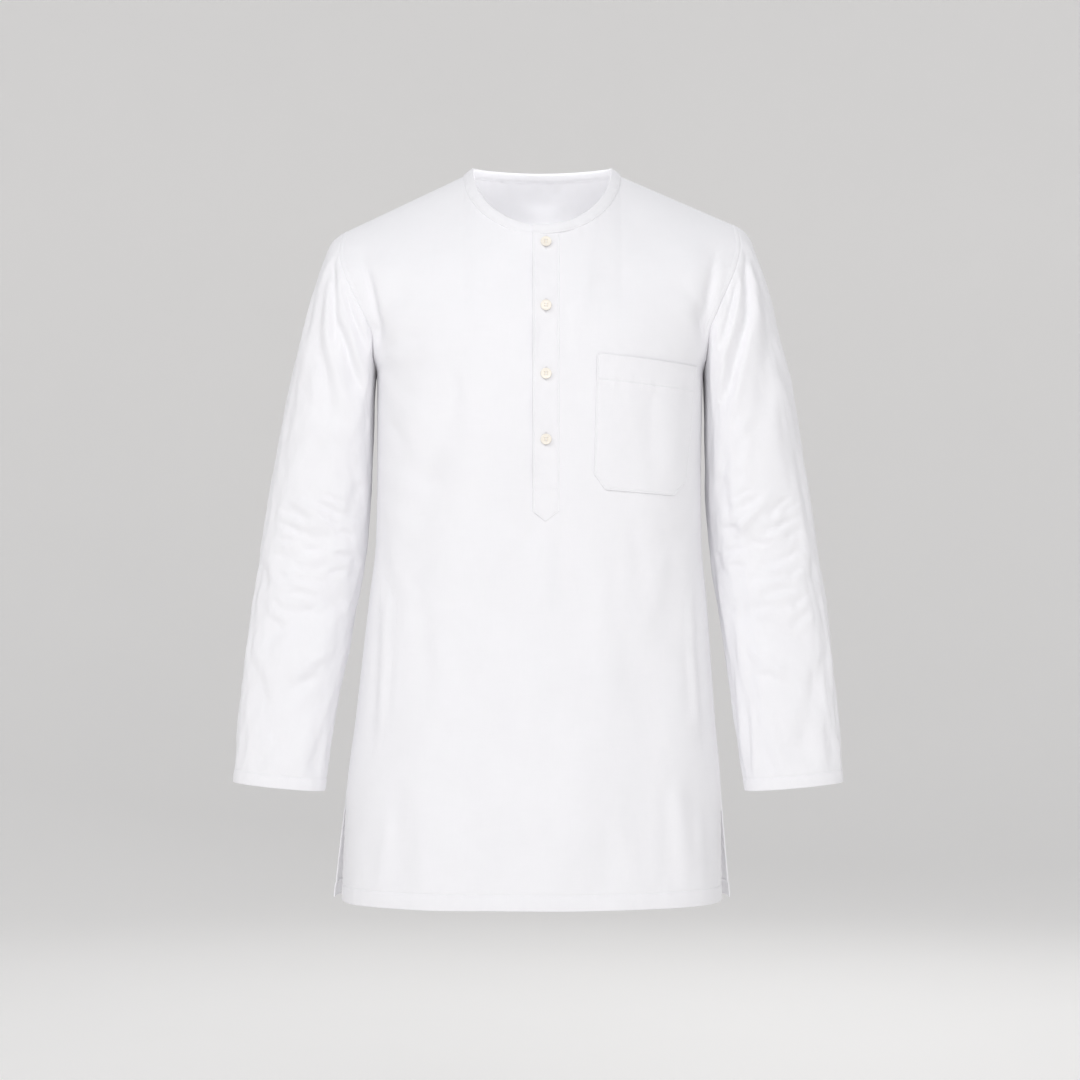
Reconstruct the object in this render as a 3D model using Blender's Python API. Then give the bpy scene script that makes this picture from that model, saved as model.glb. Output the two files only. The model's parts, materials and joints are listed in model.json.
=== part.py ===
"""Kurta tunic, worn shape with no wearer: cotton cloth walls cut as a maker cuts them, and four buttons.

Metres, +Z up. The front faces -Y and the wearer's left is +X. The origin lies midway between the two
high shoulder points, at their height. Each cut piece is one closed wall of cloth, hollow inside, and
pieces that are sewn together lie a seam gap apart.
"""

import bmesh
import bpy
import numpy as np

# Cloth and seams
CLOTH = 0.0014
SEAM_GAP = 0.0003
BAND_CLOTH = 0.0022
LAY_GAP = 0.0009
INSIDE_GAP = 0.0008

# Main sizes
HEM_Z = -0.850
ARMPIT_Z = -0.240
SLIT_TOP_Z = -0.713
SHOULDER_TIP_X = 0.230
RIGHT_SHOULDER_SLOPE = 0.472
LEFT_SHOULDER_SLOPE = 0.432
NECK_CENTRE_X = 0.0025
NECK_HALF_WIDTH = 0.090
NECK_SIDE_Z = -0.0075
NECK_SLOPE = 0.80
NECK_FRONT_DROP = 0.0776
NECK_BACK_RISE = 0.0005
BAND_EDGE_HALF_WIDTH = 0.0800
BAND_EDGE_FRONT_DROP = 0.0750
BAND_EDGE_BACK_RISE = 0.0020

# Roundness of the level sections, and of the slope from the shoulder line to the chest or back
SECTION_POWER = 2.4
SLOPE_POWER = 1.5
FRONT_SLOPE_HEIGHT = 0.200
BACK_SLOPE_HEIGHT = 0.080
BACK_SLOPE_WIDENING = 0.050
BACK_SLOPE_REACH = 0.200

# How far the side edges of the front and back part at the hem, below the side slits
FRONT_FLARE = 0.008
BACK_FLARE = 0.004
FLARE_POWER = 6

# Level sections of the body. Above the armpit the half width is that of the full oval the section
# belongs to, which the armhole cuts short.
BODY_COLUMNS = ("z", "front_half_width", "back_half_width", "centre", "front_depth", "back_depth")
BODY_ROWS = (
    (-0.850, 0.2205, 0.2315, -0.0095, 0.140, 0.130),
    (-0.780, 0.2190, 0.2240, -0.0085, 0.136, 0.128),
    (-0.713, 0.2170, 0.2170, -0.0070, 0.132, 0.125),
    (-0.643, 0.2095, 0.2095, -0.0055, 0.127, 0.123),
    (-0.573, 0.2031, 0.2031, -0.0040, 0.123, 0.120),
    (-0.503, 0.1966, 0.1966, -0.0025, 0.121, 0.117),
    (-0.433, 0.1896, 0.1896, -0.0015, 0.122, 0.114),
    (-0.350, 0.1885, 0.1885, -0.0010, 0.126, 0.115),
    (-0.290, 0.1890, 0.1890, -0.0005, 0.129, 0.118),
    (-0.240, 0.1900, 0.1900, 0.0000, 0.130, 0.121),
    (-0.223, 0.1963, 0.1963, 0.0000, 0.130, 0.121),
    (-0.199, 0.2087, 0.2087, 0.0000, 0.129, 0.122),
    (-0.174, 0.2348, 0.2348, 0.0000, 0.128, 0.122),
    (-0.147, 0.2660, 0.2660, 0.0000, 0.126, 0.121),
    (-0.118, 0.3300, 0.3300, 0.0000, 0.125, 0.120),
    (-0.077, 0.3600, 0.3600, 0.0000, 0.125, 0.119),
    (0.040, 0.3700, 0.3700, 0.0000, 0.124, 0.118),
)

# The armhole seam seen from the front, from the armpit up to the shoulder tip
ARMHOLE_COLUMNS = ("x", "z")
ARMHOLE_ROWS = (
    (0.1900, -0.2400),
    (0.1922, -0.2230),
    (0.1955, -0.1990),
    (0.2040, -0.1740),
    (0.2170, -0.1470),
    (0.2280, -0.1200),
    (0.2325, -0.0980),
    (0.2300, -0.0757),
)

# Sleeve sections from the shoulder to the cuff: the outer and the inner end of each, for the
# wearer's right and left sleeve, half its depth, and how far back its centre lies
SLEEVE_COLUMNS = (
    "outer_z", "outer_right", "outer_left", "inner_z", "inner_right", "inner_left", "half_depth", "back",
)
SLEEVE_ROWS = (
    (-0.0757, 0.2300, 0.2300, -0.2400, 0.1900, 0.1900, 0.0590, 0.0060),
    (-0.0870, 0.2422, 0.2425, -0.2600, 0.1915, 0.1908, 0.0620, 0.0055),
    (-0.1120, 0.2535, 0.2545, -0.2850, 0.1930, 0.1915, 0.0640, 0.0050),
    (-0.1530, 0.2665, 0.2685, -0.3150, 0.1940, 0.1920, 0.0635, 0.0045),
    (-0.2050, 0.2805, 0.2812, -0.3500, 0.1955, 0.1925, 0.0615, 0.0045),
    (-0.2600, 0.2935, 0.2953, -0.3850, 0.1972, 0.1930, 0.0585, 0.0050),
    (-0.3280, 0.3070, 0.3060, -0.4250, 0.2005, 0.1965, 0.0545, 0.0060),
    (-0.3980, 0.3190, 0.3174, -0.4680, 0.2054, 0.2010, 0.0505, 0.0055),
    (-0.4680, 0.3295, 0.3275, -0.5200, 0.2158, 0.2085, 0.0465, 0.0015),
    (-0.5380, 0.3390, 0.3365, -0.5730, 0.2252, 0.2165, 0.0430, -0.0055),
    (-0.6080, 0.3474, 0.3432, -0.6300, 0.2362, 0.2245, 0.0395, -0.0135),
    (-0.6650, 0.3515, 0.3475, -0.6800, 0.2440, 0.2308, 0.0365, -0.0205),
    (-0.7130, 0.3555, 0.3515, -0.7235, 0.2490, 0.2372, 0.0345, -0.0250),
)
CAP_BLEND = 0.45
RING_CROWDING = 0.10

# Armhole seam: the grid place beside it that gives the body's slant, and the lean at the shoulder tip
BESIDE_ARMHOLE = 0.965
TIP_LEAN = 1.3

# Shares of a panel or sleeve over which the folds fade at its edges
SIDE_FADE = 0.10
SLEEVE_EDGE_FADE = 0.5
CAP_FADE = 0.08
CUFF_FADE = 0.06

# The largest soft folds, each along a line seen from the front: a height over zero is a ridge
FOLD_COLUMNS = ("x_from", "z_from", "x_to", "z_to", "half_width", "height")
FRONT_FOLDS = (
    (-0.203, -0.105, -0.186, -0.200, 0.014, -0.0045),
    (-0.176, -0.120, -0.166, -0.215, 0.018, 0.0025),
    (0.203, -0.105, 0.191, -0.178, 0.013, -0.0040),
    (0.176, -0.110, 0.172, -0.160, 0.018, 0.0020),
    (-0.098, -0.228, -0.124, -0.358, 0.022, -0.0030),
    (-0.124, -0.358, -0.150, -0.487, 0.024, -0.0030),
    (-0.120, -0.620, -0.132, -0.870, 0.034, 0.0050),
    (-0.052, -0.660, -0.050, -0.870, 0.030, -0.0030),
    (0.028, -0.600, 0.034, -0.870, 0.034, 0.0035),
    (0.112, -0.560, 0.128, -0.870, 0.034, -0.0035),
)
BACK_FOLDS = (
    (-0.190, -0.130, -0.160, -0.235, 0.016, -0.0045),
    (0.190, -0.130, 0.162, -0.225, 0.016, -0.0045),
    (-0.090, -0.330, -0.120, -0.520, 0.026, -0.0035),
    (0.070, -0.350, 0.104, -0.560, 0.026, -0.0035),
    (-0.105, -0.600, -0.122, -0.870, 0.034, 0.0050),
    (-0.010, -0.640, -0.006, -0.870, 0.034, -0.0040),
    (0.090, -0.580, 0.112, -0.870, 0.036, 0.0050),
)
RIGHT_SLEEVE_FOLDS = (
    (-0.240, -0.112, -0.238, -0.172, 0.011, -0.0050),
    (-0.238, -0.172, -0.214, -0.254, 0.011, -0.0050),
    (-0.262, -0.180, -0.246, -0.290, 0.013, -0.0035),
    (-0.232, -0.420, -0.290, -0.455, 0.013, -0.0040),
    (-0.236, -0.505, -0.310, -0.540, 0.014, -0.0035),
    (-0.330, -0.600, -0.305, -0.665, 0.015, -0.0030),
)
LEFT_SLEEVE_FOLDS = (
    (0.242, -0.105, 0.238, -0.175, 0.011, -0.0050),
    (0.232, -0.190, 0.205, -0.300, 0.012, -0.0045),
    (0.268, -0.190, 0.252, -0.300, 0.013, -0.0035),
    (0.226, -0.430, 0.285, -0.458, 0.013, -0.0040),
    (0.235, -0.520, 0.300, -0.548, 0.014, -0.0035),
    (0.322, -0.600, 0.300, -0.670, 0.015, -0.0030),
)
SLEEVE_BACK_FOLDS = (
    (0.246, -0.120, 0.226, -0.240, 0.013, -0.0050),
    (0.222, -0.400, 0.290, -0.430, 0.014, -0.0045),
    (0.230, -0.480, 0.300, -0.500, 0.014, -0.0040),
    (0.250, -0.560, 0.315, -0.600, 0.016, -0.0035),
)

# Front placket: a strip over the neck slash, with a pointed end
PLACKET_LEFT_X = -0.0084
PLACKET_RIGHT_X = 0.0219
PLACKET_TOP_Z = -0.0855
PLACKET_SHOULDER_Z = -0.4003
PLACKET_TIP_Z = -0.4122
PLACKET_TIP_X = 0.0062
SLASH_X = 0.0068
SLASH_WIDTH = 0.0020
SLASH_END_Z = -0.3700
UNDER_PLACKET_INSET = 0.0022
UNDER_PLACKET_END_Z = -0.3900

# Neckband: its level on the neck seam, and how its ends rise over and drop under each other, by turns
# round the neck in radians
BAND_LEVEL = 0.0004
BAND_SEAM_GAPS = 1.6
LAP_RISE = 0.0016
LAP_START = 0.45
UNDER_DROP = 0.0019
UNDER_START = 0.42
LAP_RUN = 0.22
LAP_MARGIN = 0.03

# Chest pocket seen from the front, wearer's left, with cut corners
POCKET_TOP_INNER = (0.0641, -0.2220)
POCKET_TOP_OUTER = (0.1788, -0.2339)
POCKET_LOW_INNER = (0.0606, -0.3587)
POCKET_LOW_OUTER = (0.1653, -0.3671)
POCKET_END_INNER = (0.0731, -0.3763)
POCKET_END_OUTER = (0.1511, -0.3826)
POCKET_CUT_SHARE = 0.88

# Side pocket bags behind the front: the line where each is stitched to it
BAG_COLUMNS = ("z", "right_x", "left_x")
BAG_ROWS = (
    (-0.462, 0.1900, 0.1800),
    (-0.478, 0.1785, 0.1720),
    (-0.492, 0.1695, 0.1655),
    (-0.516, 0.1640, 0.1640),
    (-0.570, 0.1690, 0.1660),
    (-0.616, 0.1750, 0.1720),
    (-0.656, 0.1770, 0.1755),
    (-0.684, 0.1850, 0.1840),
)
BAG_SEAM_SHARE = 0.985

# Buttons
BUTTON_Z = (-0.0961, -0.1690, -0.2456, -0.3192)
BUTTON_X = 0.0068
BUTTON_REACH = 0.004
BUTTON_SIDES = 16
BUTTON_PROFILE = ((0.0048, 0.0), (0.0062, 0.0009), (0.0062, 0.0021), (0.0053, 0.0028), (0.0043, 0.0022))

# Grid steps
NECK_STEPS = 9
SHOULDER_STEPS = 9
CHEST_ROWS = 9
SKIRT_ROWS = 11
CHEST_END_Z = -0.415
BACK_NECK_STEPS = 7
BACK_SHOULDER_STEPS = 5
BACK_CHEST_ROWS = 5
BACK_SKIRT_ROWS = 9
ARMHOLE_STEPS = 10
SLEEVE_RINGS = 24
HEM_ROWS = 4
PLACKET_ROWS = 30
UNDER_PLACKET_ROWS = 26
POCKET_COLUMNS = 15
POCKET_ROWS = 9
BAG_HEIGHTS = 12
BAG_WIDTHS = 5
SHARP_DEGREES = 40.0

COTTON_COLOUR = (0.93, 0.925, 0.95, 1.0)
BUTTON_COLOUR = (0.93, 0.87, 0.78, 1.0)


def column(rows, names, name):
    """One named column of a table as an array."""
    return np.array([row[names.index(name)] for row in rows])


def smooth(at, xs, ys):
    """Value at `at` on a smooth curve through (xs, ys), xs rising, with no overshoot.

    Between two points it is a cubic whose end slopes are the harmonic means of the neighbouring slopes.
    """
    steps = np.diff(xs)
    slopes = np.diff(ys) / steps
    product = slopes[:-1] * slopes[1:]
    total = slopes[:-1] + slopes[1:]
    inner = np.where(product > 0.0, 2.0 * product / np.where(total == 0.0, 1.0, total), 0.0)
    tangents = np.concatenate(([slopes[0]], inner, [slopes[-1]]))
    cell = np.clip(np.searchsorted(xs, at) - 1, 0, len(xs) - 2)
    t = np.clip((at - xs[cell]) / steps[cell], 0.0, 1.0)
    start = ys[cell] * (1 + 2 * t) * (1 - t) ** 2 + tangents[cell] * steps[cell] * t * (1 - t) ** 2
    end = ys[cell + 1] * t * t * (3 - 2 * t) - tangents[cell + 1] * steps[cell] * t * t * (1 - t)
    return start + end


def ease(value):
    """0 below 0, 1 above 1, and a smooth step between."""
    share = np.clip(value, 0.0, 1.0)
    return share * share * (3.0 - 2.0 * share)


def body_size(name, z):
    """One column of the body's sections at height z."""
    return smooth(z, column(BODY_ROWS, BODY_COLUMNS, "z"), column(BODY_ROWS, BODY_COLUMNS, name))


def shoulder_slope(x):
    """Fall of the shoulder line: the wearer's left shoulder stands a little higher."""
    return np.where(x > NECK_CENTRE_X, LEFT_SHOULDER_SLOPE, RIGHT_SHOULDER_SLOPE)


def shoulder_z(x):
    """Height of the shoulder line: straight outside the neck, and steeper up the neck."""
    out = np.abs(x - NECK_CENTRE_X)
    outside = NECK_SIDE_Z - shoulder_slope(x) * (out - NECK_HALF_WIDTH)
    inside = NECK_SIDE_Z + NECK_SLOPE * (NECK_HALF_WIDTH**2 - out**2) / (2.0 * NECK_HALF_WIDTH)
    return np.where(out > NECK_HALF_WIDTH, outside, inside)


def fold_height(folds, x, z):
    """Sum of soft ridges and troughs, each a bell curve across its line that fades past its ends."""
    total = np.zeros(np.broadcast(x, z).shape)
    for x_from, z_from, x_to, z_to, half_width, height in folds:
        run_x = x_to - x_from
        run_z = z_to - z_from
        along = np.clip(((x - x_from) * run_x + (z - z_from) * run_z) / (run_x**2 + run_z**2), 0.0, 1.0)
        away = np.hypot(x - x_from - along * run_x, z - z_from - along * run_z)
        total = total + height * np.exp(-((away / half_width) ** 2))
    return total


def body_points(side, x, z):
    """Outer face of the body at front-view places (x, z): side -1 is the front and +1 the back.

    A level section is an oval of power SECTION_POWER. It draws in towards the shoulder line by a curve
    of power SLOPE_POWER. The side edges part below the slits, and the folds stand out of the oval.
    """
    is_front = side < 0
    half_width = body_size("front_half_width" if is_front else "back_half_width", z)
    depth = body_size("front_depth" if is_front else "back_depth", z)
    centre = body_size("centre", z)
    share = np.clip(np.abs(x - centre) / half_width, 0.0, 1.0)
    oval = (1.0 - share**SECTION_POWER) ** (1.0 / SECTION_POWER)
    if is_front:
        slope_height = FRONT_SLOPE_HEIGHT
    else:
        slope_height = BACK_SLOPE_HEIGHT + BACK_SLOPE_WIDENING * ease(np.abs(x) / BACK_SLOPE_REACH)
    rise = np.clip((shoulder_z(x) - z) / slope_height, 0.0, 1.0)
    slope = (1.0 - (1.0 - rise) ** SLOPE_POWER) ** (1.0 / SLOPE_POWER)
    flare = (FRONT_FLARE if is_front else BACK_FLARE) * ease((SLIT_TOP_Z - z) / (SLIT_TOP_Z - HEM_Z))
    out_x = np.sign(x - centre) * share ** (SECTION_POWER - 1.0) / half_width
    out_y = oval ** (SECTION_POWER - 1.0) / depth
    length = np.hypot(out_x, out_y)
    folds = fold_height(FRONT_FOLDS if is_front else BACK_FOLDS, x, z)
    folds = folds * slope * ease((1.0 - share) / SIDE_FADE)
    y = depth * oval * slope + flare * share**FLARE_POWER + SEAM_GAP / 2.0
    return np.stack([x + folds * out_x / length, side * (y + folds * out_y / length), z + 0.0 * x], axis=-1)


def armhole_curve(hand, share):
    """The armhole seam in the front view, from the armpit at 0 to the shoulder tip at 1, by its length."""
    xs = column(ARMHOLE_ROWS, ARMHOLE_COLUMNS, "x")
    zs = column(ARMHOLE_ROWS, ARMHOLE_COLUMNS, "z")
    tip_z = float(shoulder_z(np.array(hand * SHOULDER_TIP_X)))
    zs = ARMPIT_Z + (zs - ARMPIT_Z) * (tip_z - ARMPIT_Z) / (zs[-1] - ARMPIT_Z)
    lengths = np.concatenate(([0.0], np.cumsum(np.hypot(np.diff(xs), np.diff(zs)))))
    at = share * lengths[-1]
    return hand * smooth(at, lengths, xs), smooth(at, lengths, zs)


def neck_share():
    """Grid place of the high shoulder point: it keeps the columns upright at the centre."""
    return NECK_HALF_WIDTH / body_size("front_half_width", np.array(ARMPIT_Z))


def yoke_places(side, across, up):
    """Front-view places above the armpit line: the patch between four edge lines, blended from them.

    across runs from -1 to 1 and up from 0 at the armpit line to 1 at the shoulder and neck seams.
    """
    width = body_size("front_half_width", np.array(ARMPIT_Z))
    neck = neck_share()

    def low(place):
        return width * np.sin(0.5 * np.pi * place), ARMPIT_Z + 0.0 * place

    def high(place):
        turn = 0.5 * np.pi * np.clip(place / neck, -1.0, 1.0)
        drop = NECK_FRONT_DROP if side < 0 else -NECK_BACK_RISE
        beyond = np.clip((np.abs(place) - neck) / (1.0 - neck), 0.0, 1.0)
        hand = np.sign(place)
        reach = SHOULDER_TIP_X - hand * NECK_CENTRE_X - NECK_HALF_WIDTH
        in_neck = np.abs(place) <= neck
        out = np.where(in_neck, NECK_HALF_WIDTH * np.sin(turn), hand * (NECK_HALF_WIDTH + reach * beyond))
        x = NECK_CENTRE_X + out
        z = np.where(in_neck, NECK_SIDE_Z - drop * np.cos(turn), shoulder_z(x))
        return x, z

    places = []
    for axis in (0, 1):
        between = (1 - up) * low(across)[axis] + up * high(across)[axis]
        for hand in (-1, 1):
            end = np.array(float(hand))
            drift = armhole_curve(hand, up)[axis] - (1 - up) * low(end)[axis] - up * high(end)[axis]
            between = between + 0.5 * (1.0 + hand * across) * drift
        places.append(between)
    return places


def panel_grid(side, across, yoke_up, skirt_z):
    """Outer points of the front or back, rows from the hem up, columns from the wearer's right."""
    name = "front_half_width" if side < 0 else "back_half_width"
    low_z = skirt_z[:, None] + 0.0 * across[None, :]
    low_x = body_size("centre", low_z) + body_size(name, low_z) * np.sin(0.5 * np.pi * across[None, :])
    high_x, high_z = yoke_places(side, across[None, :], yoke_up[:, None])
    x = np.concatenate([low_x, high_x])
    z = np.concatenate([low_z, high_z])
    return body_points(side, x, z)


def grid_normals(points, wraps=False):
    """Unit normals of a grid from its neighbours along rows and columns."""
    if wraps:
        along = np.roll(points, -1, axis=1) - np.roll(points, 1, axis=1)
    else:
        along = np.gradient(points, axis=1)
    up = np.gradient(points, axis=0)
    normals = np.cross(along, up)
    return normals / np.maximum(np.linalg.norm(normals, axis=-1, keepdims=True), 1e-12)


def unit(vectors):
    """Vectors brought to length one."""
    return vectors / np.maximum(np.linalg.norm(vectors, axis=-1, keepdims=True), 1e-12)


def add_object(name, vertices, faces, material):
    """One closed mesh object whose faces point outwards."""
    mesh = bpy.data.meshes.new(name)
    mesh.from_pydata([tuple(v) for v in vertices], [], faces)
    build = bmesh.new()
    build.from_mesh(mesh)
    bmesh.ops.triangulate(build, faces=build.faces[:])
    bmesh.ops.recalc_face_normals(build, faces=build.faces[:])
    build.to_mesh(mesh)
    build.free()
    mesh.shade_smooth()
    mesh.set_sharp_from_angle(angle=np.radians(SHARP_DEGREES))
    mesh.materials.append(material)
    piece = bpy.data.objects.new(name, mesh)
    bpy.context.scene.collection.objects.link(piece)
    return piece


def add_wall(name, outer, inner, material, wraps=False, cells=None):
    """A cloth wall between two grids of points, closed along every edge of the cells that it keeps."""
    rows, columns = outer.shape[:2]
    steps = columns if wraps else columns - 1
    if cells is None:
        cells = np.ones((rows - 1, steps), dtype=bool)
    count = rows * columns

    def spot(row, col, layer):
        return layer * count + row * columns + col % columns

    faces = []
    for row in range(rows - 1):
        for col in range(steps):
            if not cells[row, col]:
                continue
            ring = [(row, col), (row, col + 1), (row + 1, col + 1), (row + 1, col)]
            faces.append([spot(r, c, 0) for r, c in ring])
            faces.append([spot(r, c, 1) for r, c in reversed(ring)])
            beside = (
                (row - 1, col, ring[0], ring[1]),
                (row, col + 1, ring[1], ring[2]),
                (row + 1, col, ring[2], ring[3]),
                (row, col - 1, ring[3], ring[0]),
            )
            for near_row, near_col, start, end in beside:
                if wraps:
                    near_col %= steps
                is_kept = 0 <= near_row < rows - 1 and 0 <= near_col < steps and cells[near_row, near_col]
                if not is_kept:
                    faces.append([spot(*start, 0), spot(*start, 1), spot(*end, 1), spot(*end, 0)])
    used = sorted({corner for face in faces for corner in face})
    places = {corner: number for number, corner in enumerate(used)}
    vertices = np.concatenate([outer.reshape(-1, 3), inner.reshape(-1, 3)])[used]
    return add_object(name, vertices, [[places[c] for c in face] for face in faces], material)


def add_strip(name, base, from_level, thickness, material):
    """A wall that follows a grid of points on the front, its outer face from_level before them."""
    normals = grid_normals(base)
    normals = normals * np.where(normals[..., 1:2] > 0.0, -1.0, 1.0)
    return add_wall(
        name, base + from_level * normals, base + (from_level - thickness) * normals, material
    )


def sleeve_size(name, share):
    """One column of the sleeve's sections at a share of the way from the shoulder to the cuff."""
    at = np.linspace(0.0, 1.0, len(SLEEVE_ROWS))
    return smooth(share, at, column(SLEEVE_ROWS, SLEEVE_COLUMNS, name))


def armhole_ring(hand, turns):
    """The armhole seam in space: turn 0 is the shoulder tip, pi the armpit, front first."""
    x, z = armhole_curve(hand, 1.0 - np.abs(turns) / np.pi)
    points_front = body_points(-1, x, z)
    points_back = body_points(1, x, z)
    ring = np.where(turns[..., None] >= 0.0, points_front, points_back)
    ends = (np.abs(turns) < 1e-6) | (np.abs(turns) > np.pi - 1e-6)
    ring[..., 1] = np.where(ends, 0.0, ring[..., 1])
    return ring


def sleeve_points(hand, share, turns):
    """Outer face of a sleeve: hand -1 is the wearer's right and +1 the left.

    Each section is an oval between an outer and an inner point. Near the shoulder it is drawn over to
    the armhole seam, and the folds sink into it along the line from its centre.
    """
    word = "right" if hand < 0 else "left"

    def end(which, at):
        x = hand * sleeve_size(f"{which}_{word}", at)
        return np.stack([x, 0.0 * at, sleeve_size(f"{which}_z", at)], -1)

    def oval(at):
        outer = end("outer", at)
        inner = end("inner", at)
        middle = (outer + inner) / 2.0
        middle[..., 1] = sleeve_size("back", at)
        ring = middle + (outer - inner) / 2.0 * np.cos(turns)[..., None]
        ring[..., 1] -= sleeve_size("half_depth", at) * np.sin(turns)
        return ring, middle

    ring, middle = oval(share)
    first, _ = oval(0.0 * share)
    hold = 1.0 - ease(share / CAP_BLEND)
    ring = ring + (armhole_ring(hand, turns) - first) * hold[..., None]
    x = ring[..., 0]
    z = ring[..., 2]
    front_folds = fold_height(RIGHT_SLEEVE_FOLDS if hand < 0 else LEFT_SLEEVE_FOLDS, x, z)
    back_folds = fold_height(SLEEVE_BACK_FOLDS, np.abs(x), z)
    facing = np.sin(turns)
    height = front_folds * ease(facing / SLEEVE_EDGE_FADE) + back_folds * ease(-facing / SLEEVE_EDGE_FADE)
    height = height * ease(share / CAP_FADE) * ease((1.0 - share) / CUFF_FADE)
    return ring + height[..., None] * unit(ring - middle)


def sleeve_turns(steps):
    """Turns round a sleeve, from just past the armpit on the back, round by the shoulder, to the armpit."""
    return np.pi * (1.0 - 2.0 * np.arange(2 * steps) / (2 * steps))


def sleeve_grid(hand, turns, rings):
    """Outer points and unit normals of a sleeve, rings from the shoulder down."""
    share = np.linspace(0.0, 1.0, rings + 1)[:, None] + 0.0 * turns[None, :]
    share = share - RING_CROWDING * np.sin(np.pi * share) * (1.0 - share)
    points = sleeve_points(hand, share, turns[None, :] + 0.0 * share)
    normals = grid_normals(points, wraps=True)
    middle = points.mean(axis=1, keepdims=True)
    outward = np.sum(normals * (points - middle), axis=-1, keepdims=True)
    return points, np.where(outward < 0.0, -normals, normals)


def seam_frame(points, body_normals, sleeve_normals, hand):
    """Shared normals along the armhole seam and the unit direction across it, away from the body."""
    shared = unit(body_normals + sleeve_normals)
    along = unit(np.gradient(points, axis=0))
    across = unit(np.cross(along, shared))
    away = np.sign(across[:, 0] * hand + 1e-9)
    return shared, across * away[:, None]


def armhole_shared(hand, steps):
    """Seam normals and cross directions for each turn in the half from armpit to shoulder tip, by side."""
    frames = {}
    turns = sleeve_turns(steps)
    points, normals = sleeve_grid(hand, turns, SLEEVE_RINGS)
    by_turn = {round(float(t), 6): n for t, n in zip(turns, normals[0])}
    for side in (-1, 1):
        up = np.linspace(0.0, 1.0, steps + 1)
        across = np.array([BESIDE_ARMHOLE, 1.0]) * hand
        x, z = yoke_places(side, across[None, :], up[:, None])
        patch = body_points(side, x, z)
        body = grid_normals(patch)[:, 1] * (-side)
        body = body * np.sign(body[:, 1:2] * side + 1e-9)
        seam = patch[:, 1].copy()
        seam[[0, -1], 1] = 0.0
        turn_of = np.pi * (1.0 - up)
        keys = [round(float(t if side < 0 or t > np.pi - 1e-6 else -t), 6) for t in turn_of]
        sleeve = np.array([by_turn[k if k in by_turn else round(-k, 6)] for k in keys])
        shared, away = seam_frame(seam, body, sleeve, hand)
        shared[0] = (0.0, 0.0, -1.0)
        away[0] = (hand, 0.0, 0.0)
        tip = unit(np.array([hand * float(shoulder_slope(np.array(hand))) * TIP_LEAN, 0.0, 1.0]))
        shared[-1] = tip
        away[-1] = (hand * tip[2], 0.0, -abs(tip[0]))
        frames[side] = (seam, shared, away)
    return frames


def panel_walls(side, across, skirt_z, armhole_steps, frames):
    """Outer and inner points of the front or back, with its seam edges drawn back by half a seam gap."""
    up = np.linspace(0.0, 1.0, armhole_steps + 1)[1:]
    outer = panel_grid(side, across, up, skirt_z)
    normals = grid_normals(outer) * (1.0 if side < 0 else -1.0)
    low_rows = len(skirt_z)
    normals[:low_rows, 0] = (-1.0, 0.0, 0.0)
    normals[:low_rows, -1] = (1.0, 0.0, 0.0)
    in_shoulder = np.abs(across) > neck_share() + 1e-9
    top = np.stack([np.sign(across) * shoulder_slope(across), 0.0 * across, 1.0 + 0.0 * across], -1)
    normals[-1, in_shoulder] = unit(top)[in_shoulder]
    at_neck_side = np.abs(np.abs(across) - neck_share()) < 1e-9
    normals[-1, at_neck_side] = unit(top)[at_neck_side]
    for hand, col in ((-1, 0), (1, -1)):
        seam, shared, away = frames[hand][side]
        rows = slice(low_rows - 1, low_rows + armhole_steps)
        outer[rows, col] = seam - away * SEAM_GAP / 2.0
        outer[low_rows - 1, col, 1] = side * SEAM_GAP / 2.0
        outer[-1, col, 1] = side * SEAM_GAP / 2.0
        normals[rows, col] = shared
    return outer, outer - CLOTH * normals


def skirt_rows(chest_rows, skirt_count):
    """Heights of the level rows from the hem to the armpit line."""
    skirt = np.linspace(HEM_Z, SLIT_TOP_Z, HEM_ROWS)
    middle = np.linspace(SLIT_TOP_Z, CHEST_END_Z, skirt_count - HEM_ROWS + 2)[1:]
    chest = np.linspace(CHEST_END_Z, ARMPIT_Z, chest_rows + 1)[1:]
    return np.concatenate([skirt, middle, chest])


def panel_columns(neck_steps, shoulder_steps):
    """Grid places across a panel, with one exactly at each high shoulder point."""
    neck = neck_share()
    inner = np.linspace(-neck, neck, 2 * neck_steps + 1)
    outer = np.linspace(neck, 1.0, shoulder_steps + 1)[1:]
    return np.concatenate([-outer[::-1], inner, outer])


def slash_places():
    """Grid places of the two edges of the slash."""
    width = body_size("front_half_width", np.array(ARMPIT_Z))
    edges = SLASH_X + np.array([-0.5, 0.5]) * SLASH_WIDTH
    return np.arcsin(edges / width) * 2.0 / np.pi


def front_columns():
    """Grid places across the front: the slash takes the place of the middle column."""
    across = panel_columns(NECK_STEPS, SHOULDER_STEPS)
    return np.sort(np.concatenate([across[np.abs(across) > 1e-9], slash_places()]))


def neck_turns(across):
    """Turns round the neck of the columns that end at the neck seam."""
    in_neck = across[np.abs(across) < neck_share() + 1e-9]
    return 0.5 * np.pi * in_neck / neck_share()


def make_front(frames, material):
    """Front: one panel, slashed from the neck under the placket."""
    across = front_columns()
    skirt_z = skirt_rows(CHEST_ROWS, SKIRT_ROWS)
    outer, inner = panel_walls(-1, across, skirt_z, ARMHOLE_STEPS, frames)
    cells = np.ones((outer.shape[0] - 1, outer.shape[1] - 1), dtype=bool)
    slash_column = int(np.argmin(np.abs(across - slash_places()[0])))
    middle_z = outer[:, slash_column, 2]
    cells[middle_z[:-1] > SLASH_END_Z, slash_column] = False
    return add_wall("front", outer, inner, material, cells=cells)


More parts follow.
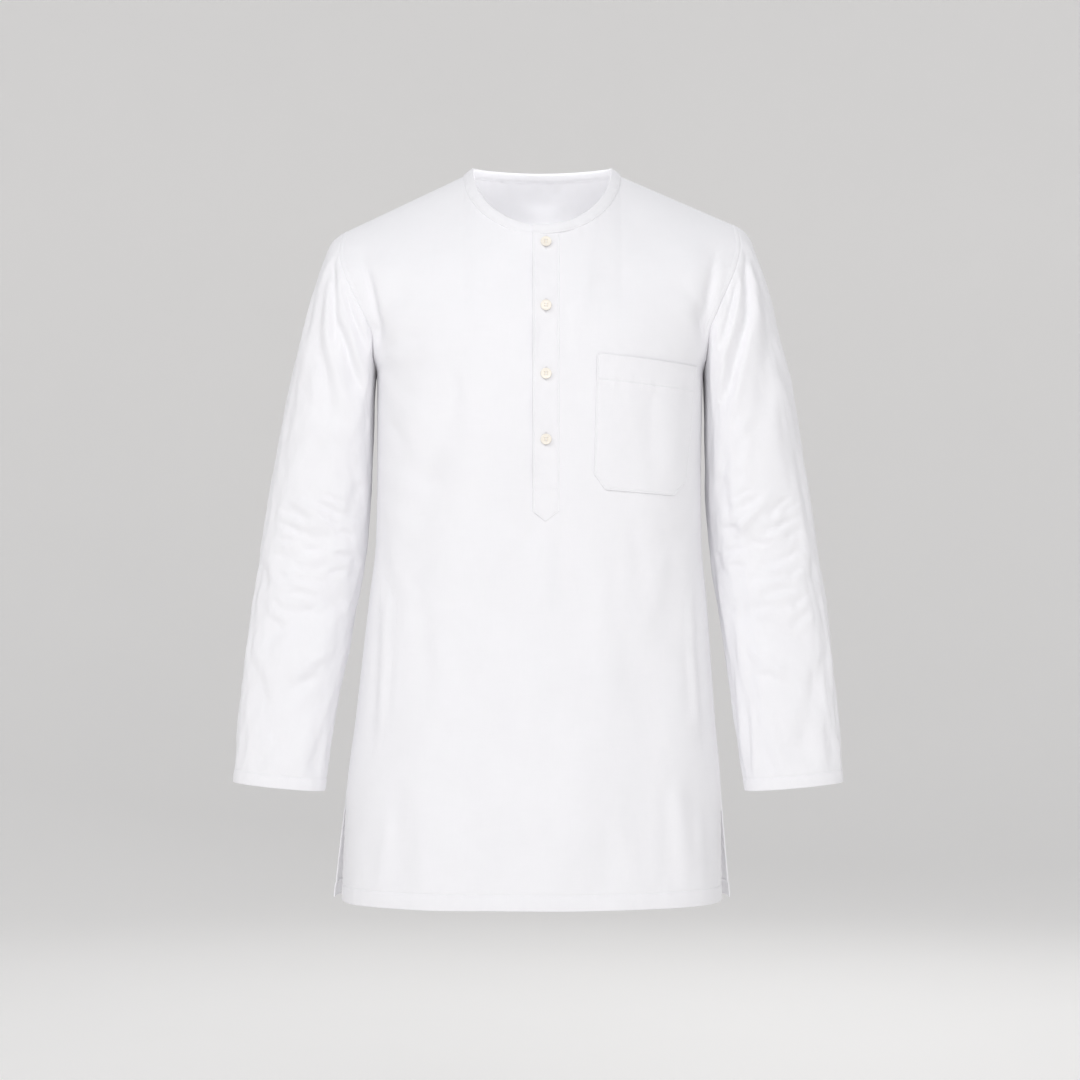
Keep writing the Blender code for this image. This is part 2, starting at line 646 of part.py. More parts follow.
def make_back(frames, material):
    """Back: one plain panel."""
    across = panel_columns(BACK_NECK_STEPS, BACK_SHOULDER_STEPS)
    skirt_z = skirt_rows(BACK_CHEST_ROWS, BACK_SKIRT_ROWS)
    outer, inner = panel_walls(1, across, skirt_z, ARMHOLE_STEPS, frames)
    return add_wall("back", outer, inner, material)


def make_sleeve(name, hand, frames, material):
    """Sleeve: one tube set into the armhole, open at the cuff."""
    turns = sleeve_turns(ARMHOLE_STEPS)
    points, normals = sleeve_grid(hand, turns, SLEEVE_RINGS)
    for number, turn in enumerate(turns):
        side = -1 if turn >= 0.0 else 1
        row = int(round((1.0 - abs(turn) / np.pi) * ARMHOLE_STEPS))
        seam, shared, away = frames[hand][side]
        points[0, number] = seam[row] + away[row] * SEAM_GAP / 2.0
        normals[0, number] = shared[row]
    return add_wall(name, points, points - CLOTH * normals, material, wraps=True)


def neck_loop(half_width, side_z, front_drop, back_rise, turns):
    """A closed line round the neck: turn 0 is the front centre, pi the back centre."""
    x = NECK_CENTRE_X + half_width * np.sin(turns)
    is_front = np.cos(turns) >= 0.0
    z = np.where(is_front, side_z - front_drop * np.cos(turns), side_z - back_rise * np.cos(turns))
    return np.where(is_front[..., None], body_points(-1, x, z), body_points(1, x, z))


def make_neckband(material):
    """Neckband: a narrow folded binding round the neck, its ends lapped over and under at the placket."""
    lap = np.arcsin((PLACKET_LEFT_X - NECK_CENTRE_X) / NECK_HALF_WIDTH)
    under = np.arcsin((PLACKET_RIGHT_X - UNDER_PLACKET_INSET - NECK_CENTRE_X) / NECK_HALF_WIDTH)
    front_turns = neck_turns(front_columns())
    back_turns = np.pi - neck_turns(panel_columns(BACK_NECK_STEPS, BACK_SHOULDER_STEPS))[1:-1]
    once = np.sort(np.concatenate([front_turns, back_turns]) % (2.0 * np.pi))
    lapped = front_turns[(front_turns > lap + LAP_MARGIN) & (front_turns < 0.0)]
    passed = 2.0 * np.pi + front_turns[(front_turns > 0.0) & (front_turns < under - LAP_MARGIN)]
    turns = np.concatenate([[lap], lapped, once, passed, [2.0 * np.pi + under]])
    wrapped = np.arctan2(np.sin(turns), np.cos(turns))
    seam = neck_loop(NECK_HALF_WIDTH, NECK_SIDE_Z, NECK_FRONT_DROP, NECK_BACK_RISE, wrapped)
    side_edge_z = float(shoulder_z(np.array(NECK_CENTRE_X + BAND_EDGE_HALF_WIDTH)))
    edge = neck_loop(BAND_EDGE_HALF_WIDTH, side_edge_z, BAND_EDGE_FRONT_DROP, BAND_EDGE_BACK_RISE, wrapped)
    direction = unit(edge - seam)
    base = np.stack([seam + direction * SEAM_GAP * BAND_SEAM_GAPS, (seam + edge) / 2.0, edge])
    normals = grid_normals(base)
    normals = normals * np.sign(np.sum(normals * base * (1.0, 1.0, 0.0), -1, keepdims=True) + 1e-9)
    over = ease((LAP_START - turns) / LAP_RUN)
    below = ease((turns - 2.0 * np.pi + UNDER_START) / LAP_RUN)
    level = BAND_LEVEL + LAP_RISE * over - UNDER_DROP * below
    outer = base + normals * level[None, :, None]
    return add_wall("neckband", outer, outer - normals * BAND_CLOTH, material)


def neck_seam_z(x):
    """Height of the neck seam on the front: half an ellipse."""
    share = (x - NECK_CENTRE_X) / NECK_HALF_WIDTH
    return NECK_SIDE_Z - NECK_FRONT_DROP * np.sqrt(1.0 - share**2)


def placket_grid(left, right, shoulder, tip_x, tip_z, rows):
    """A strip between two upright lines from the neck down, whose last row draws in to a point."""
    share = np.array([0.0, 0.5, 1.0])
    heights = np.linspace(PLACKET_TOP_Z, shoulder, rows)
    x = left + (right - left) * share[None, :] + 0.0 * heights[:, None]
    z = heights[:, None] + 0.0 * share[None, :]
    end_x = np.array([[left, tip_x, right]])
    end_z = np.array([[shoulder, tip_z, shoulder]])
    x[-1] = end_x
    z[-1] = end_z
    return x, z


def make_placket(material):
    """Placket: the over strip, from under the neckband to its pointed end."""
    x, z = placket_grid(
        PLACKET_LEFT_X, PLACKET_RIGHT_X, PLACKET_SHOULDER_Z, PLACKET_TIP_X, PLACKET_TIP_Z, PLACKET_ROWS
    )
    z[0] = neck_seam_z(x[0]) - SEAM_GAP
    return add_strip("placket", body_points(-1, x, z), LAY_GAP + CLOTH, CLOTH, material)


def make_placket_under(material):
    """Under placket: the strip behind the slash that carries the buttons."""
    left = PLACKET_LEFT_X + UNDER_PLACKET_INSET
    right = PLACKET_RIGHT_X - UNDER_PLACKET_INSET
    end = UNDER_PLACKET_END_Z
    x, z = placket_grid(left, right, end, SLASH_X, end, UNDER_PLACKET_ROWS)
    z[0] = neck_seam_z(x[0]) - SEAM_GAP
    return add_strip("placket_under", body_points(-1, x, z), -CLOTH - INSIDE_GAP, CLOTH, material)


def make_pocket(material):
    """Chest pocket: a patch that lies on the front, its top edge open and its lower corners cut."""
    across = np.linspace(0.0, 1.0, POCKET_COLUMNS)[None, :]
    down = np.concatenate([np.linspace(0.0, POCKET_CUT_SHARE, POCKET_ROWS), [1.0]])[:, None]
    upper = np.minimum(down / POCKET_CUT_SHARE, 1.0)
    lower = np.clip((down - POCKET_CUT_SHARE) / (1.0 - POCKET_CUT_SHARE), 0.0, 1.0)

    def edge(top, low, end, axis):
        straight = top[axis] + (low[axis] - top[axis]) * upper
        return straight + (end[axis] - low[axis]) * lower

    inner_x, inner_z = (edge(POCKET_TOP_INNER, POCKET_LOW_INNER, POCKET_END_INNER, a) for a in (0, 1))
    outer_x, outer_z = (edge(POCKET_TOP_OUTER, POCKET_LOW_OUTER, POCKET_END_OUTER, a) for a in (0, 1))
    x = inner_x + (outer_x - inner_x) * across
    z = inner_z + (outer_z - inner_z) * across
    return add_strip("pocket", body_points(-1, x, z), LAY_GAP + CLOTH, CLOTH, material)


def make_side_pocket(name, hand, material):
    """Side pocket bag: a layer behind the front, from the side seam to its curved line of stitches."""
    bag_z = column(BAG_ROWS, BAG_COLUMNS, "z")
    line = column(BAG_ROWS, BAG_COLUMNS, "right_x" if hand < 0 else "left_x")
    z = np.linspace(bag_z[0], bag_z[-1], BAG_HEIGHTS)[:, None]
    stitched = smooth(z, bag_z[::-1], line[::-1])
    seam = hand * body_size("centre", z) + body_size("front_half_width", z) * BAG_SEAM_SHARE
    share = np.linspace(0.0, 1.0, BAG_WIDTHS)[None, :]
    out = stitched + (seam - stitched) * np.sin(0.5 * np.pi * share)
    x = hand * out
    return add_strip(name, body_points(-1, x, z + 0.0 * x), -CLOTH - INSIDE_GAP, CLOTH, material)


def make_button(number, z, material):
    """Button: a turned disc with a raised rim, square to the placket."""
    x = BUTTON_X + BUTTON_REACH * np.array([[-1.0, 1.0], [-1.0, 1.0]])
    heights = z + BUTTON_REACH * np.array([[1.0, 1.0], [-1.0, -1.0]])
    patch = body_points(-1, x, heights)
    middle = patch.mean(axis=(0, 1))
    normal = unit(np.cross(patch[0, 1] - patch[0, 0], patch[0, 0] - patch[1, 0]))
    level = unit(patch[0, 1] - patch[0, 0])
    upright = np.cross(normal, level)
    seat = middle + normal * (LAY_GAP + CLOTH + SEAM_GAP)
    angles = 2.0 * np.pi * np.arange(BUTTON_SIDES) / BUTTON_SIDES
    vertices = []
    for radius, rise in BUTTON_PROFILE:
        for angle in angles:
            spoke = np.cos(angle) * level + np.sin(angle) * upright
            vertices.append(seat + normal * rise + radius * spoke)
    faces = []
    for ring in range(len(BUTTON_PROFILE) - 1):
        for step in range(BUTTON_SIDES):
            after = (step + 1) % BUTTON_SIDES
            low = ring * BUTTON_SIDES
            high = low + BUTTON_SIDES
            faces.append([low + step, low + after, high + after, high + step])
    faces.append(list(range(BUTTON_SIDES))[::-1])
    last = (len(BUTTON_PROFILE) - 1) * BUTTON_SIDES
    faces.append([last + step for step in range(BUTTON_SIDES)])
    return add_object(f"button_{number}", vertices, faces, material)


def make_material(name, colour, roughness):
    """A plain Principled material."""
    material = bpy.data.materials.new(name)
    material.use_nodes = True
    shader = material.node_tree.nodes["Principled BSDF"]
    shader.inputs["Base Color"].default_value = colour
    shader.inputs["Roughness"].default_value = roughness
    shader.inputs["Metallic"].default_value = 0.0
    return material


def main():
    for old in list(bpy.data.objects):
        bpy.data.objects.remove(old, do_unlink=True)
    cotton = make_material("cotton", COTTON_COLOUR, 0.85)
    button = make_material("button", BUTTON_COLOUR, 0.35)
    frames = {hand: armhole_shared(hand, ARMHOLE_STEPS) for hand in (-1, 1)}
    make_front(frames, cotton)
    make_back(frames, cotton)
    make_sleeve("sleeve_right", -1, frames, cotton)
    make_sleeve("sleeve_left", 1, frames, cotton)
    make_neckband(cotton)
    make_placket(cotton)
    make_placket_under(cotton)
    make_pocket(cotton)
    make_side_pocket("side_pocket_right", -1, cotton)
    make_side_pocket("side_pocket_left", 1, cotton)
    for number, z in enumerate(BUTTON_Z, start=1):
        make_button(number, z, button)


main()
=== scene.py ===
import functools
import json

import bpy
import numpy as np
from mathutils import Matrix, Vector


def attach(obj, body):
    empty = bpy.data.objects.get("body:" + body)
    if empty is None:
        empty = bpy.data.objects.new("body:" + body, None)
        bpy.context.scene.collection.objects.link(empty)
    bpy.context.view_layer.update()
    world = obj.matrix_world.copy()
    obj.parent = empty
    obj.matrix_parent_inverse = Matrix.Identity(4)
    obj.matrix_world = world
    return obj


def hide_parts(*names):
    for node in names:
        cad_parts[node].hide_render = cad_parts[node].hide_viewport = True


bl_info = {
    "name": "Kurta Tunic",
    "version": (1, 0, 0),
    "blender": (4, 5, 0),
    "location": "3D View > Sidebar > Tunic",
    "description": "Dresses the tunic's solids in thin creased cotton with its hems, stitches and buttons",
    "category": "Object",
}

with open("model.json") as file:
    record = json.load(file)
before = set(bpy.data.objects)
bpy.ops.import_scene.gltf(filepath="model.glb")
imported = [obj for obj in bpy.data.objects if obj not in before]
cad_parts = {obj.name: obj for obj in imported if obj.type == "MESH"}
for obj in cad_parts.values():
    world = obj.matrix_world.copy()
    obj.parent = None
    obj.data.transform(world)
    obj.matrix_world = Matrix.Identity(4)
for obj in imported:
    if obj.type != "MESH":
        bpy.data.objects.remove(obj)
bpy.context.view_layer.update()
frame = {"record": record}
SLOTS = {row["slot"]: row["base_color"] for row in frame["record"]["materials"]}

# Main sizes of the cut, in metres. The front faces -Y and the wearer's left is +X
HEM_Z = -0.850
ARMPIT_Z = -0.240
SLIT_TOP_Z = -0.713
SHOULDER_TIP_X = 0.230
RIGHT_SHOULDER_SLOPE = 0.472
LEFT_SHOULDER_SLOPE = 0.432
NECK_CENTRE_X = 0.0025
NECK_HALF_WIDTH = 0.090
NECK_SIDE_Z = -0.0075
NECK_SLOPE = 0.80
NECK_FRONT_DROP = 0.0776
NECK_BACK_RISE = 0.0005
BAND_EDGE_HALF_WIDTH = 0.0800
BAND_EDGE_FRONT_DROP = 0.0750
BAND_EDGE_BACK_RISE = 0.0020

# Roundness of the level sections, and of the slope from the shoulder line to the chest or back
SECTION_POWER = 2.4
SLOPE_POWER = 1.5
FRONT_SLOPE_HEIGHT = 0.200
BACK_SLOPE_HEIGHT = 0.080
BACK_SLOPE_WIDENING = 0.050
BACK_SLOPE_REACH = 0.200
FRONT_FLARE = 0.008
BACK_FLARE = 0.004
FLARE_POWER = 6
SIDE_FADE = 0.10

# Level sections of the body
BODY_COLUMNS = ("z", "front_half_width", "back_half_width", "centre", "front_depth", "back_depth")
BODY_ROWS = (
    (-0.85, 0.2205, 0.2315, -0.0095, 0.14, 0.13),
    (-0.78, 0.219, 0.224, -0.0085, 0.136, 0.128),
    (-0.713, 0.217, 0.217, -0.007, 0.132, 0.125),
    (-0.643, 0.2095, 0.2095, -0.0055, 0.127, 0.123),
    (-0.573, 0.2031, 0.2031, -0.004, 0.123, 0.12),
    (-0.503, 0.1966, 0.1966, -0.0025, 0.121, 0.117),
    (-0.433, 0.1896, 0.1896, -0.0015, 0.122, 0.114),
    (-0.35, 0.1885, 0.1885, -0.001, 0.126, 0.115),
    (-0.29, 0.189, 0.189, -0.0005, 0.129, 0.118),
    (-0.24, 0.19, 0.19, 0.0, 0.13, 0.121),
    (-0.223, 0.1963, 0.1963, 0.0, 0.13, 0.121),
    (-0.199, 0.2087, 0.2087, 0.0, 0.129, 0.122),
    (-0.174, 0.2348, 0.2348, 0.0, 0.128, 0.122),
    (-0.147, 0.266, 0.266, 0.0, 0.126, 0.121),
    (-0.118, 0.33, 0.33, 0.0, 0.125, 0.12),
    (-0.077, 0.36, 0.36, 0.0, 0.125, 0.119),
    (0.04, 0.37, 0.37, 0.0, 0.124, 0.118),
)

# The armhole seam seen from the front, from the armpit up to the shoulder tip
ARMHOLE_COLUMNS = ("x", "z")
ARMHOLE_ROWS = (
    (0.19, -0.24),
    (0.1922, -0.223),
    (0.1955, -0.199),
    (0.204, -0.174),
    (0.217, -0.147),
    (0.228, -0.12),
    (0.2325, -0.098),
    (0.23, -0.0757),
)

# Sleeve sections from the shoulder to the cuff
SLEEVE_COLUMNS = (
    "outer_z", "outer_right", "outer_left", "inner_z", "inner_right", "inner_left", "half_depth", "back",
)
SLEEVE_ROWS = (
    (-0.0757, 0.23, 0.23, -0.24, 0.19, 0.19, 0.059, 0.006),
    (-0.087, 0.2422, 0.2425, -0.26, 0.1915, 0.1908, 0.062, 0.0055),
    (-0.112, 0.2535, 0.2545, -0.285, 0.193, 0.1915, 0.064, 0.005),
    (-0.153, 0.2665, 0.2685, -0.315, 0.194, 0.192, 0.0635, 0.0045),
    (-0.205, 0.2805, 0.2812, -0.35, 0.1955, 0.1925, 0.0615, 0.0045),
    (-0.26, 0.2935, 0.2953, -0.385, 0.1972, 0.193, 0.0585, 0.005),
    (-0.328, 0.307, 0.306, -0.425, 0.2005, 0.1965, 0.0545, 0.006),
    (-0.398, 0.319, 0.3174, -0.468, 0.2054, 0.201, 0.0505, 0.0055),
    (-0.468, 0.3295, 0.3275, -0.52, 0.2158, 0.2085, 0.0465, 0.0015),
    (-0.538, 0.339, 0.3365, -0.573, 0.2252, 0.2165, 0.043, -0.0055),
    (-0.608, 0.3474, 0.3432, -0.63, 0.2362, 0.2245, 0.0395, -0.0135),
    (-0.665, 0.3515, 0.3475, -0.68, 0.244, 0.2308, 0.0365, -0.0205),
    (-0.713, 0.3555, 0.3515, -0.7235, 0.249, 0.2372, 0.0345, -0.025),
)
CAP_BLEND = 0.45
SLEEVE_EDGE_FADE = 0.5
CAP_FADE = 0.08
CUFF_FADE = 0.06
BESIDE_ARMHOLE = 0.965
TIP_LEAN = 1.3

# The largest soft folds, which the solids have too. Each row: x and z where its line starts, x and z
# where it ends, half width and height
FRONT_FOLDS = (
    (-0.203, -0.105, -0.186, -0.2, 0.014, -0.0045),
    (-0.176, -0.12, -0.166, -0.215, 0.018, 0.0025),
    (0.203, -0.105, 0.191, -0.178, 0.013, -0.004),
    (0.176, -0.11, 0.172, -0.16, 0.018, 0.002),
    (-0.098, -0.228, -0.124, -0.358, 0.022, -0.003),
    (-0.124, -0.358, -0.15, -0.487, 0.024, -0.003),
    (-0.12, -0.62, -0.132, -0.87, 0.034, 0.005),
    (-0.052, -0.66, -0.05, -0.87, 0.03, -0.003),
    (0.028, -0.6, 0.034, -0.87, 0.034, 0.0035),
    (0.112, -0.56, 0.128, -0.87, 0.034, -0.0035),
)
BACK_FOLDS = (
    (-0.19, -0.13, -0.16, -0.235, 0.016, -0.0045),
    (0.19, -0.13, 0.162, -0.225, 0.016, -0.0045),
    (-0.09, -0.33, -0.12, -0.52, 0.026, -0.0035),
    (0.07, -0.35, 0.104, -0.56, 0.026, -0.0035),
    (-0.105, -0.6, -0.122, -0.87, 0.034, 0.005),
    (-0.01, -0.64, -0.006, -0.87, 0.034, -0.004),
    (0.09, -0.58, 0.112, -0.87, 0.036, 0.005),
)
RIGHT_SLEEVE_FOLDS = (
    (-0.24, -0.112, -0.239, -0.165, 0.011, -0.003),
    (-0.235, -0.19, -0.214, -0.254, 0.011, -0.0034),
    (-0.262, -0.18, -0.246, -0.29, 0.013, -0.0028),
    (-0.232, -0.42, -0.29, -0.455, 0.013, -0.004),
    (-0.236, -0.505, -0.31, -0.54, 0.014, -0.0035),
    (-0.33, -0.6, -0.305, -0.665, 0.015, -0.003),
)
LEFT_SLEEVE_FOLDS = (
    (0.242, -0.105, 0.239, -0.17, 0.011, -0.003),
    (0.232, -0.195, 0.207, -0.29, 0.012, -0.0034),
    (0.268, -0.19, 0.252, -0.3, 0.013, -0.0028),
    (0.226, -0.43, 0.285, -0.458, 0.013, -0.004),
    (0.235, -0.52, 0.3, -0.548, 0.014, -0.0035),
    (0.322, -0.6, 0.3, -0.67, 0.015, -0.003),
)
SLEEVE_BACK_FOLDS = (
    (0.246, -0.12, 0.226, -0.24, 0.013, -0.005),
    (0.222, -0.4, 0.29, -0.43, 0.014, -0.0045),
    (0.23, -0.48, 0.3, -0.5, 0.014, -0.004),
    (0.25, -0.56, 0.315, -0.6, 0.016, -0.0035),
)

# Finer creases of the cloth, each along a bowed line seen from the front: it starts narrow, spreads
# along its way and fades at both ends, and a height over zero is a ridge. Each row: x and z where the
# line starts, x and z where it ends, bow, half width and height
FRONT_CREASES = (
    (-0.209, -0.095, -0.19, -0.214, 0.0062, 0.0048, -0.004),
    (-0.1975, -0.112, -0.143, -0.172, 0.003, 0.011, -0.0014),
    (0.206, -0.09, 0.189, -0.214, -0.0025, 0.005, -0.004),
    (0.18, -0.15, 0.186, -0.222, 0.002, 0.006, -0.0012),
    (-0.098, -0.236, -0.11, -0.33, 0.006, 0.01, -0.0014),
    (-0.15, -0.48, -0.128, -0.64, 0.008, 0.014, -0.0016),
    (-0.124, -0.52, -0.11, -0.66, 0.006, 0.013, 0.0012),
    (-0.172, -0.73, -0.186, -0.846, 0.003, 0.008, 0.0014),
    (-0.14, -0.72, -0.148, -0.848, -0.003, 0.009, -0.0012),
    (0.14, -0.7, 0.15, -0.848, 0.003, 0.01, -0.0014),
    (0.184, -0.735, 0.19, -0.846, -0.002, 0.008, 0.0014),
    (-0.176, -0.29, -0.15, -0.356, 0.004, 0.008, -0.0012),
    (-0.182, -0.42, -0.166, -0.52, -0.005, 0.009, -0.0014),
    (0.182, -0.3, 0.176, -0.395, -0.003, 0.008, 0.0013),
    (0.1, -0.4, 0.112, -0.53, 0.006, 0.012, -0.0012),
    (-0.194, -0.21, -0.15, -0.14, 0.006, 0.008, -0.0012),
    (-0.19, -0.228, -0.128, -0.196, 0.005, 0.009, -0.001),
    (-0.186, -0.24, -0.14, -0.3, -0.004, 0.009, 0.0011),
    (0.194, -0.205, 0.156, -0.135, -0.006, 0.008, -0.0012),
    (0.188, -0.236, 0.166, -0.33, 0.004, 0.008, 0.001),
    (-0.088, -0.03, -0.15, -0.11, 0.006, 0.012, -0.001),
    (0.092, -0.03, 0.148, -0.112, -0.006, 0.012, -0.0009),
    (-0.07, -0.098, -0.092, -0.2, 0.008, 0.012, 0.001),
    (0.06, -0.094, 0.052, -0.215, -0.005, 0.012, 0.0009),
    (-0.012, -0.12, -0.016, -0.235, 0.002, 0.006, 0.0007),
    (-0.014, -0.26, -0.017, -0.36, -0.002, 0.006, 0.0006),
    (0.131, -0.232, 0.129, -0.385, -0.005, 0.01, -0.001),
    (0.152, -0.24, 0.147, -0.372, 0.004, 0.01, 0.0005),
    (0.028, -0.15, 0.034, -0.24, -0.002, 0.006, -0.0006),
    (0.006, -0.414, 0.001, -0.52, 0.004, 0.01, 0.001),
    (-0.006, -0.408, -0.04, -0.47, 0.005, 0.008, -0.0006),
    (0.02, -0.408, 0.052, -0.462, -0.005, 0.008, -0.0006),
    (-0.178, -0.478, -0.186, -0.675, 0.004, 0.0045, 0.0014),
    (-0.188, -0.47, -0.197, -0.69, 0.003, 0.005, -0.0014),
    (-0.168, -0.56, -0.177, -0.65, -0.003, 0.005, -0.0009),
    (-0.16, -0.47, -0.15, -0.56, 0.005, 0.011, 0.001),
    (0.173, -0.476, 0.184, -0.67, -0.004, 0.0045, 0.0014),
    (0.183, -0.47, 0.193, -0.69, -0.003, 0.005, -0.0014),
    (0.163, -0.55, 0.171, -0.645, 0.003, 0.005, -0.0009),
    (0.158, -0.43, 0.15, -0.56, -0.006, 0.012, -0.0012),
    (-0.186, -0.33, -0.11, -0.372, -0.006, 0.012, -0.001),
    (-0.188, -0.38, -0.13, -0.44, -0.006, 0.012, 0.0011),
    (0.186, -0.4, 0.11, -0.452, 0.006, 0.012, -0.001),
    (-0.06, -0.42, -0.085, -0.6, 0.01, 0.016, 0.0013),
    (0.07, -0.45, 0.088, -0.64, -0.01, 0.016, 0.0014),
    (-0.01, -0.56, -0.016, -0.78, 0.006, 0.018, 0.0012),
    (-0.16, -0.69, -0.17, -0.845, 0.004, 0.012, -0.0014),
    (0.156, -0.69, 0.17, -0.845, -0.004, 0.012, 0.0014),
    (-0.088, -0.76, -0.09, -0.849, 0.002, 0.012, 0.001),
    (0.072, -0.74, 0.078, -0.849, 0.002, 0.013, -0.0011),
)
BACK_CREASES = (
    (-0.196, -0.215, -0.12, -0.15, -0.006, 0.009, -0.0014),
    (-0.19, -0.236, -0.1, -0.222, 0.006, 0.01, -0.0012),
    (0.196, -0.212, 0.124, -0.146, 0.006, 0.009, -0.0014),
    (0.19, -0.234, 0.106, -0.225, -0.006, 0.01, 0.0012),
    (-0.06, -0.04, -0.09, -0.17, 0.01, 0.014, 0.001),
    (0.058, -0.04, 0.086, -0.16, -0.01, 0.014, 0.001),
    (-0.03, -0.03, 0.034, -0.032, -0.012, 0.009, -0.0012),
    (-0.186, -0.33, -0.08, -0.4, -0.008, 0.012, 0.0014),
    (-0.188, -0.37, -0.1, -0.45, -0.008, 0.012, -0.0014),
    (0.188, -0.34, 0.084, -0.41, 0.008, 0.012, -0.0014),
    (0.188, -0.4, 0.11, -0.462, 0.008, 0.012, 0.0013),
    (-0.04, -0.42, -0.06, -0.62, 0.01, 0.017, -0.0014),
    (0.03, -0.43, 0.046, -0.64, -0.01, 0.017, 0.0014),
    (-0.165, -0.52, -0.176, -0.7, 0.006, 0.01, 0.0013),
    (0.16, -0.53, 0.174, -0.705, -0.006, 0.01, 0.0013),
    (0.0, -0.18, 0.006, -0.36, 0.012, 0.018, 0.0012),
    (-0.15, -0.7, -0.166, -0.846, 0.004, 0.012, -0.0014),
    (0.052, -0.72, 0.06, -0.848, -0.004, 0.013, -0.0012),
    (0.16, -0.7, 0.176, -0.846, -0.004, 0.012, -0.0014),
)
RIGHT_SLEEVE_CREASES = (
    (-0.237, -0.098, -0.235, -0.222, -0.003, 0.0046, -0.0034),
    (-0.2395, -0.162, -0.196, -0.294, 0.001, 0.0052, -0.0034),
    (-0.241, -0.102, -0.252, -0.242, -0.007, 0.0055, -0.0028),
    (-0.2555, -0.2, -0.24, -0.3, 0.002, 0.007, -0.0026),
    (-0.229, -0.118, -0.194, -0.23, -0.0036, 0.004, -0.0028),
    (-0.262, -0.13, -0.276, -0.25, -0.006, 0.007, 0.0014),
    (-0.242, -0.3, -0.224, -0.39, 0.003, 0.007, -0.0015),
    (-0.222, -0.33, -0.208, -0.4, 0.002, 0.005, -0.0014),
    (-0.304, -0.396, -0.28, -0.408, 0.002, 0.0034, -0.0013),
    (-0.306, -0.412, -0.274, -0.428, 0.0024, 0.0036, -0.0014),
    (-0.308, -0.43, -0.286, -0.436, 0.0016, 0.0034, -0.0013),
    (-0.278, -0.442, -0.242, -0.44, -0.003, 0.0036, -0.0015),
    (-0.31, -0.45, -0.292, -0.452, 0.0016, 0.0036, -0.0013),
    (-0.284, -0.468, -0.25, -0.47, -0.0024, 0.0036, -0.0013),
    (-0.306, -0.47, -0.288, -0.484, 0.002, 0.0038, -0.0014),
    (-0.248, -0.474, -0.218, -0.47, 0.002, 0.0036, -0.0013),
    (-0.26, -0.4, -0.23, -0.424, 0.0026, 0.0036, -0.0014),
    (-0.252, -0.38, -0.224, -0.396, 0.002, 0.0038, -0.0013),
    (-0.276, -0.512, -0.244, -0.52, -0.0024, 0.0045, -0.0012),
    (-0.312, -0.5, -0.296, -0.52, 0.002, 0.0045, -0.0014),
    (-0.234, -0.506, -0.226, -0.53, 0.0014, 0.004, -0.0012),
    (-0.297, -0.39, -0.266, -0.418, 0.003, 0.005, -0.002),
    (-0.294, -0.42, -0.258, -0.432, 0.003, 0.005, -0.0018),
    (-0.264, -0.39, -0.226, -0.412, 0.003, 0.0055, -0.002),
    (-0.238, -0.426, -0.212, -0.432, 0.002, 0.005, -0.0015),
    (-0.29, -0.459, -0.244, -0.463, -0.005, 0.0052, -0.0022),
    (-0.24, -0.45, -0.212, -0.458, 0.002, 0.005, -0.0018),
    (-0.294, -0.477, -0.242, -0.487, 0.003, 0.005, -0.0016),
    (-0.294, -0.493, -0.252, -0.504, 0.003, 0.0052, -0.0018),
    (-0.326, -0.452, -0.32, -0.494, 0.002, 0.006, -0.0018),
    (-0.279, -0.38, -0.226, -0.438, 0.003, 0.008, 0.0015),
    (-0.318, -0.52, -0.294, -0.542, 0.002, 0.006, -0.0016),
    (-0.214, -0.452, -0.219, -0.484, 0.003, 0.0048, -0.002),
    (-0.206, -0.36, -0.216, -0.42, -0.004, 0.0075, -0.0022),
    (-0.3, -0.44, -0.272, -0.45, 0.004, 0.006, 0.0014),
    (-0.246, -0.506, -0.3, -0.516, 0.003, 0.006, -0.0013),
    (-0.242, -0.56, -0.29, -0.604, -0.005, 0.008, 0.0016),
    (-0.25, -0.59, -0.31, -0.622, -0.005, 0.008, -0.0015),
    (-0.336, -0.56, -0.322, -0.64, 0.004, 0.008, -0.0015),
    (-0.264, -0.63, -0.286, -0.7, 0.004, 0.008, 0.0013),
    (-0.31, -0.64, -0.326, -0.702, 0.003, 0.008, -0.0013),
    (-0.25, -0.115, -0.262, -0.21, 0.006, 0.008, 0.0018),
    (-0.222, -0.196, -0.206, -0.29, -0.004, 0.006, -0.0018),
    (-0.272, -0.26, -0.29, -0.372, 0.006, 0.01, 0.0015),
    (-0.236, -0.28, -0.222, -0.372, -0.005, 0.009, 0.0015),
)
